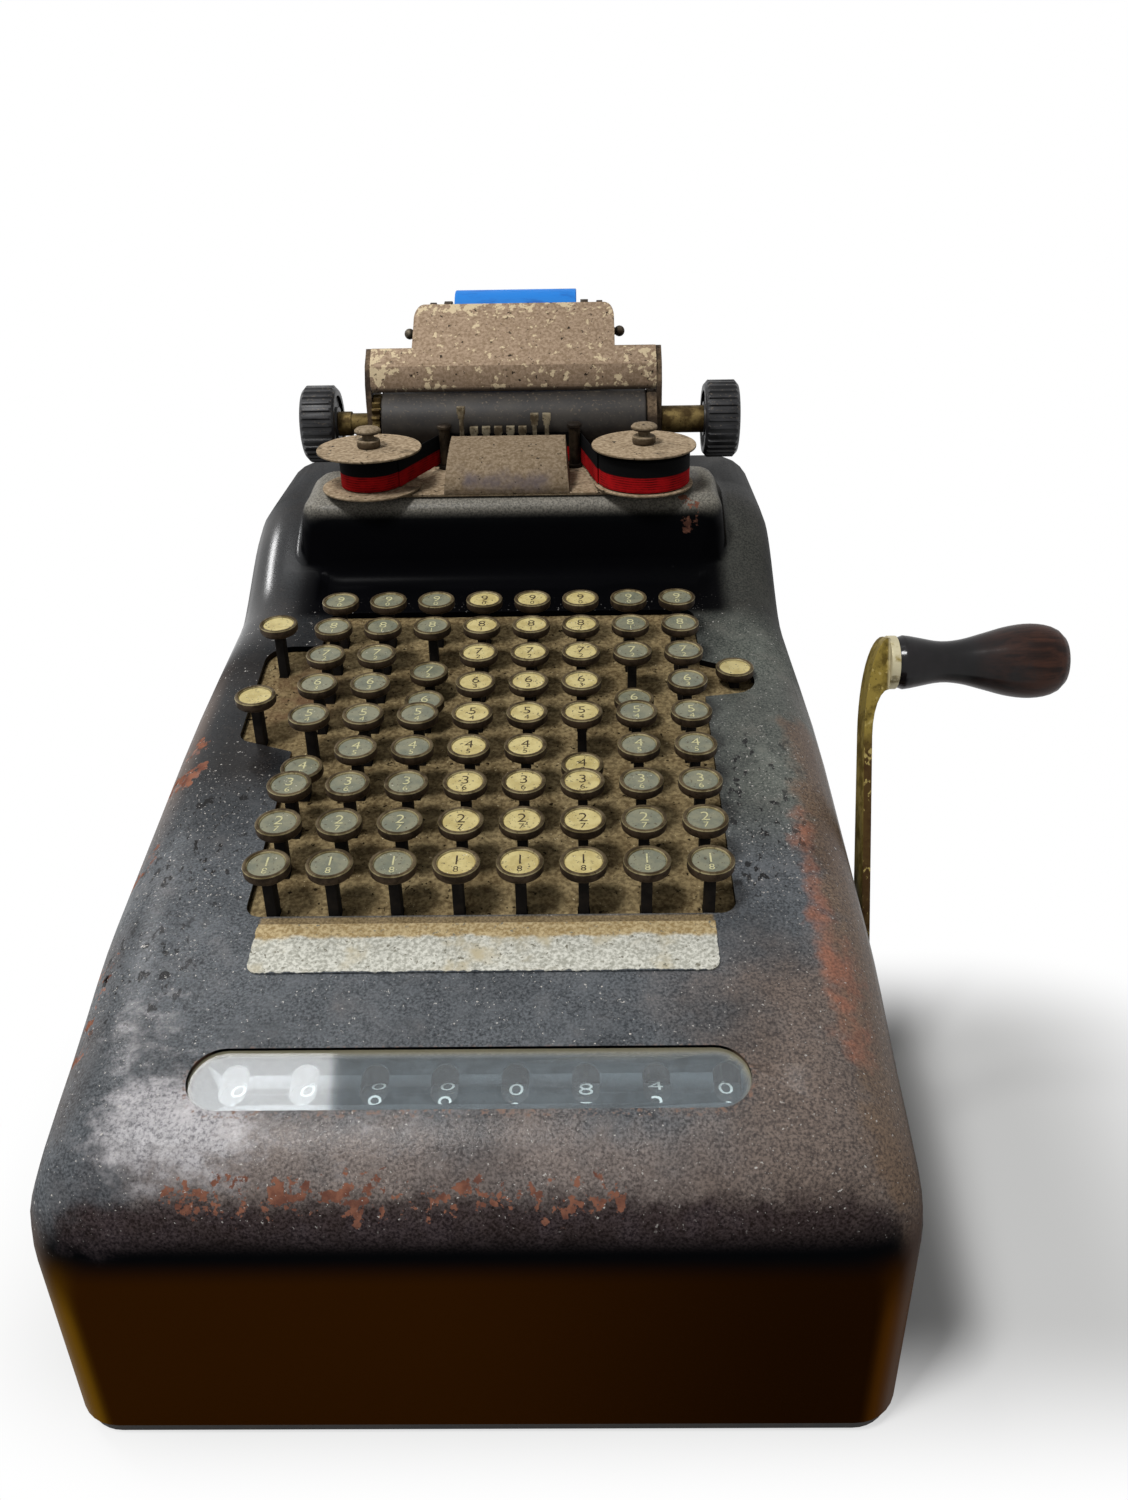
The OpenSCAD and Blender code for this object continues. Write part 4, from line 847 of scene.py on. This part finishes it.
class MACHINE_OT_stage(Operator):
    """Sets the pale floor, the soft lights and the camera at the photograph's angle"""
    bl_idname = "adding_machine.stage"
    bl_label = "Stage"

    def execute(self, context):
        scene = context.scene
        scene.view_settings.view_transform = "Standard"
        # Lens, tilt and place as fitted to the grid of keys
        camera = bpy.data.objects.new("camera", bpy.data.cameras.new("camera"))
        focal_pixels, frame_pixels, sensor = 1241.98, 1500, 36
        camera.data.lens = focal_pixels / frame_pixels * sensor
        camera.data.sensor_width = sensor
        camera.data.clip_start = 0.01
        right = Vector((0.99984545, 0.00699637, -0.01612828))
        up = Vector((0.01071473, 0.48481403, 0.87455163))
        back = Vector((0.0139379, -0.87458928, 0.48466414))
        pose = Matrix((right, up, back)).transposed().to_4x4()
        pose.translation = (0.02978, -0.41805, 0.34708)
        camera.matrix_world = pose
        scene.collection.objects.link(camera)
        scene.camera = camera

        # Matt white card near the machine, which keeps its shadow, fading to the white of the backdrop
        bm = bmesh.new()
        bmesh.ops.create_grid(bm, x_segments=1, y_segments=1, size=6)
        mesh = as_mesh("floor", bm)
        mat, tree, shader = new_material("white_floor_card", {"Base Color": "#e0e0df", "Roughness": 0.9,
                                                              "Specular IOR Level": 0.1})
        middle, half, weight, reach = (0.055, -0.1, 0), (0.13, 0.06, 0), (1, 1.8, 0), 0.115
        away = add(tree, "VectorMath", {0: add(tree, "TexCoord").outputs["Object"], 1: middle},
                   operation="SUBTRACT").outputs[0]
        away = add(tree, "MapRange", {"Value": outside(tree, away, half, weight), "From Min": 0.0, "From Max": reach,
                                      "To Max": seen_ray(tree)}, interpolation_type="SMOOTHSTEP").outputs["Result"]
        white = add(tree, "Emission", {"Color": "#ffffff"})
        fade = add(tree, "MixShader", {0: away, 1: shader.outputs[0], 2: white.outputs[0]})
        tree.links.new(fade.outputs[0], tree.nodes["Material Output"].inputs["Surface"])
        mesh.materials.append(mat)
        floor = bpy.data.objects.new("floor", mesh)
        scene.collection.objects.link(floor)

        world = bpy.data.worlds.new("studio")
        world.use_nodes = True
        scene.world = world
        tree = world.node_tree
        # The backdrop is full white to the eye and lights the part with less than a quarter of that
        level = add(tree, "Math", {0: seen_ray(tree), 1: 0.78, 2: 0.22}, operation="MULTIPLY_ADD").outputs[0]
        fill(tree, tree.nodes["Background"], {"Color": "#ffffff", "Strength": level})

        def lamp(name, size, watts, place, aim):
            data = bpy.data.lights.new(name, "AREA")
            data.shape = "RECTANGLE"
            data.size, data.size_y = size
            data.energy = watts
            obj = bpy.data.objects.new(name, data)
            obj.location = place
            if aim:
                obj.rotation_euler = (Vector(aim) - Vector(place)).to_track_quat("-Z", "Y").to_euler()
            scene.collection.objects.link(obj)

        lamp("key_light", (0.34, 0.34), 19, (-0.5, -0.6, 1.65), (0, -0.03, 0.14))
        lamp("side_light", (0.24, 0.2), 4.0, (-0.89, 0.48, 0.98), (-0.1, 0.09, 0.16))
        # Faint panes straight above, which the dial's glass mirrors at its left end
        lamp("pane_wide", (0.226, 0.116), 0.75, (-0.458, 0.247, 1.6), None)
        lamp("pane_left", (0.046, 0.10), 0.34, (-0.543, 0.240, 1.6), None)
        lamp("pane_middle", (0.080, 0.10), 0.60, (-0.440, 0.240, 1.6), None)
        lamp("pane_right", (0.016, 0.10), 0.13, (-0.365, 0.240, 1.6), None)
        return {"FINISHED"}


class MACHINE_PT_panel(Panel):
    """Sidebar panel with the pieces, their sizes and their colours"""
    bl_idname = "MACHINE_PT_panel"
    bl_label = "Adding machine"
    bl_space_type = "VIEW_3D"
    bl_region_type = "UI"
    bl_category = "Adding machine"

    def draw(self, context):
        for group in (context.scene.machine_sizes, context.scene.machine_colours):
            for key in group.__annotations__:
                self.layout.prop(group, key)
        for operator in OPERATORS:
            self.layout.operator(operator.bl_idname)


OPERATORS = (MACHINE_OT_stage, MACHINE_OT_casing, MACHINE_OT_key_plate, MACHINE_OT_keys, MACHINE_OT_register,
             MACHINE_OT_frames, MACHINE_OT_ribbon, MACHINE_OT_type_head, MACHINE_OT_carriage, MACHINE_OT_paper,
             MACHINE_OT_crank)
CLASSES = (MachineSizes, MachineColours) + OPERATORS + (MACHINE_PT_panel,)


def register():
    for cls in CLASSES:
        bpy.utils.register_class(cls)
    bpy.types.Scene.machine_sizes = PointerProperty(type=MachineSizes)
    bpy.types.Scene.machine_colours = PointerProperty(type=MachineColours)


def unregister():
    del bpy.types.Scene.machine_colours
    del bpy.types.Scene.machine_sizes
    for cls in reversed(CLASSES):
        bpy.utils.unregister_class(cls)


def main():
    register()
    for operator in OPERATORS:
        getattr(bpy.ops.adding_machine, operator.bl_idname.split(".")[1])()


if __name__ == "__main__":
    main()
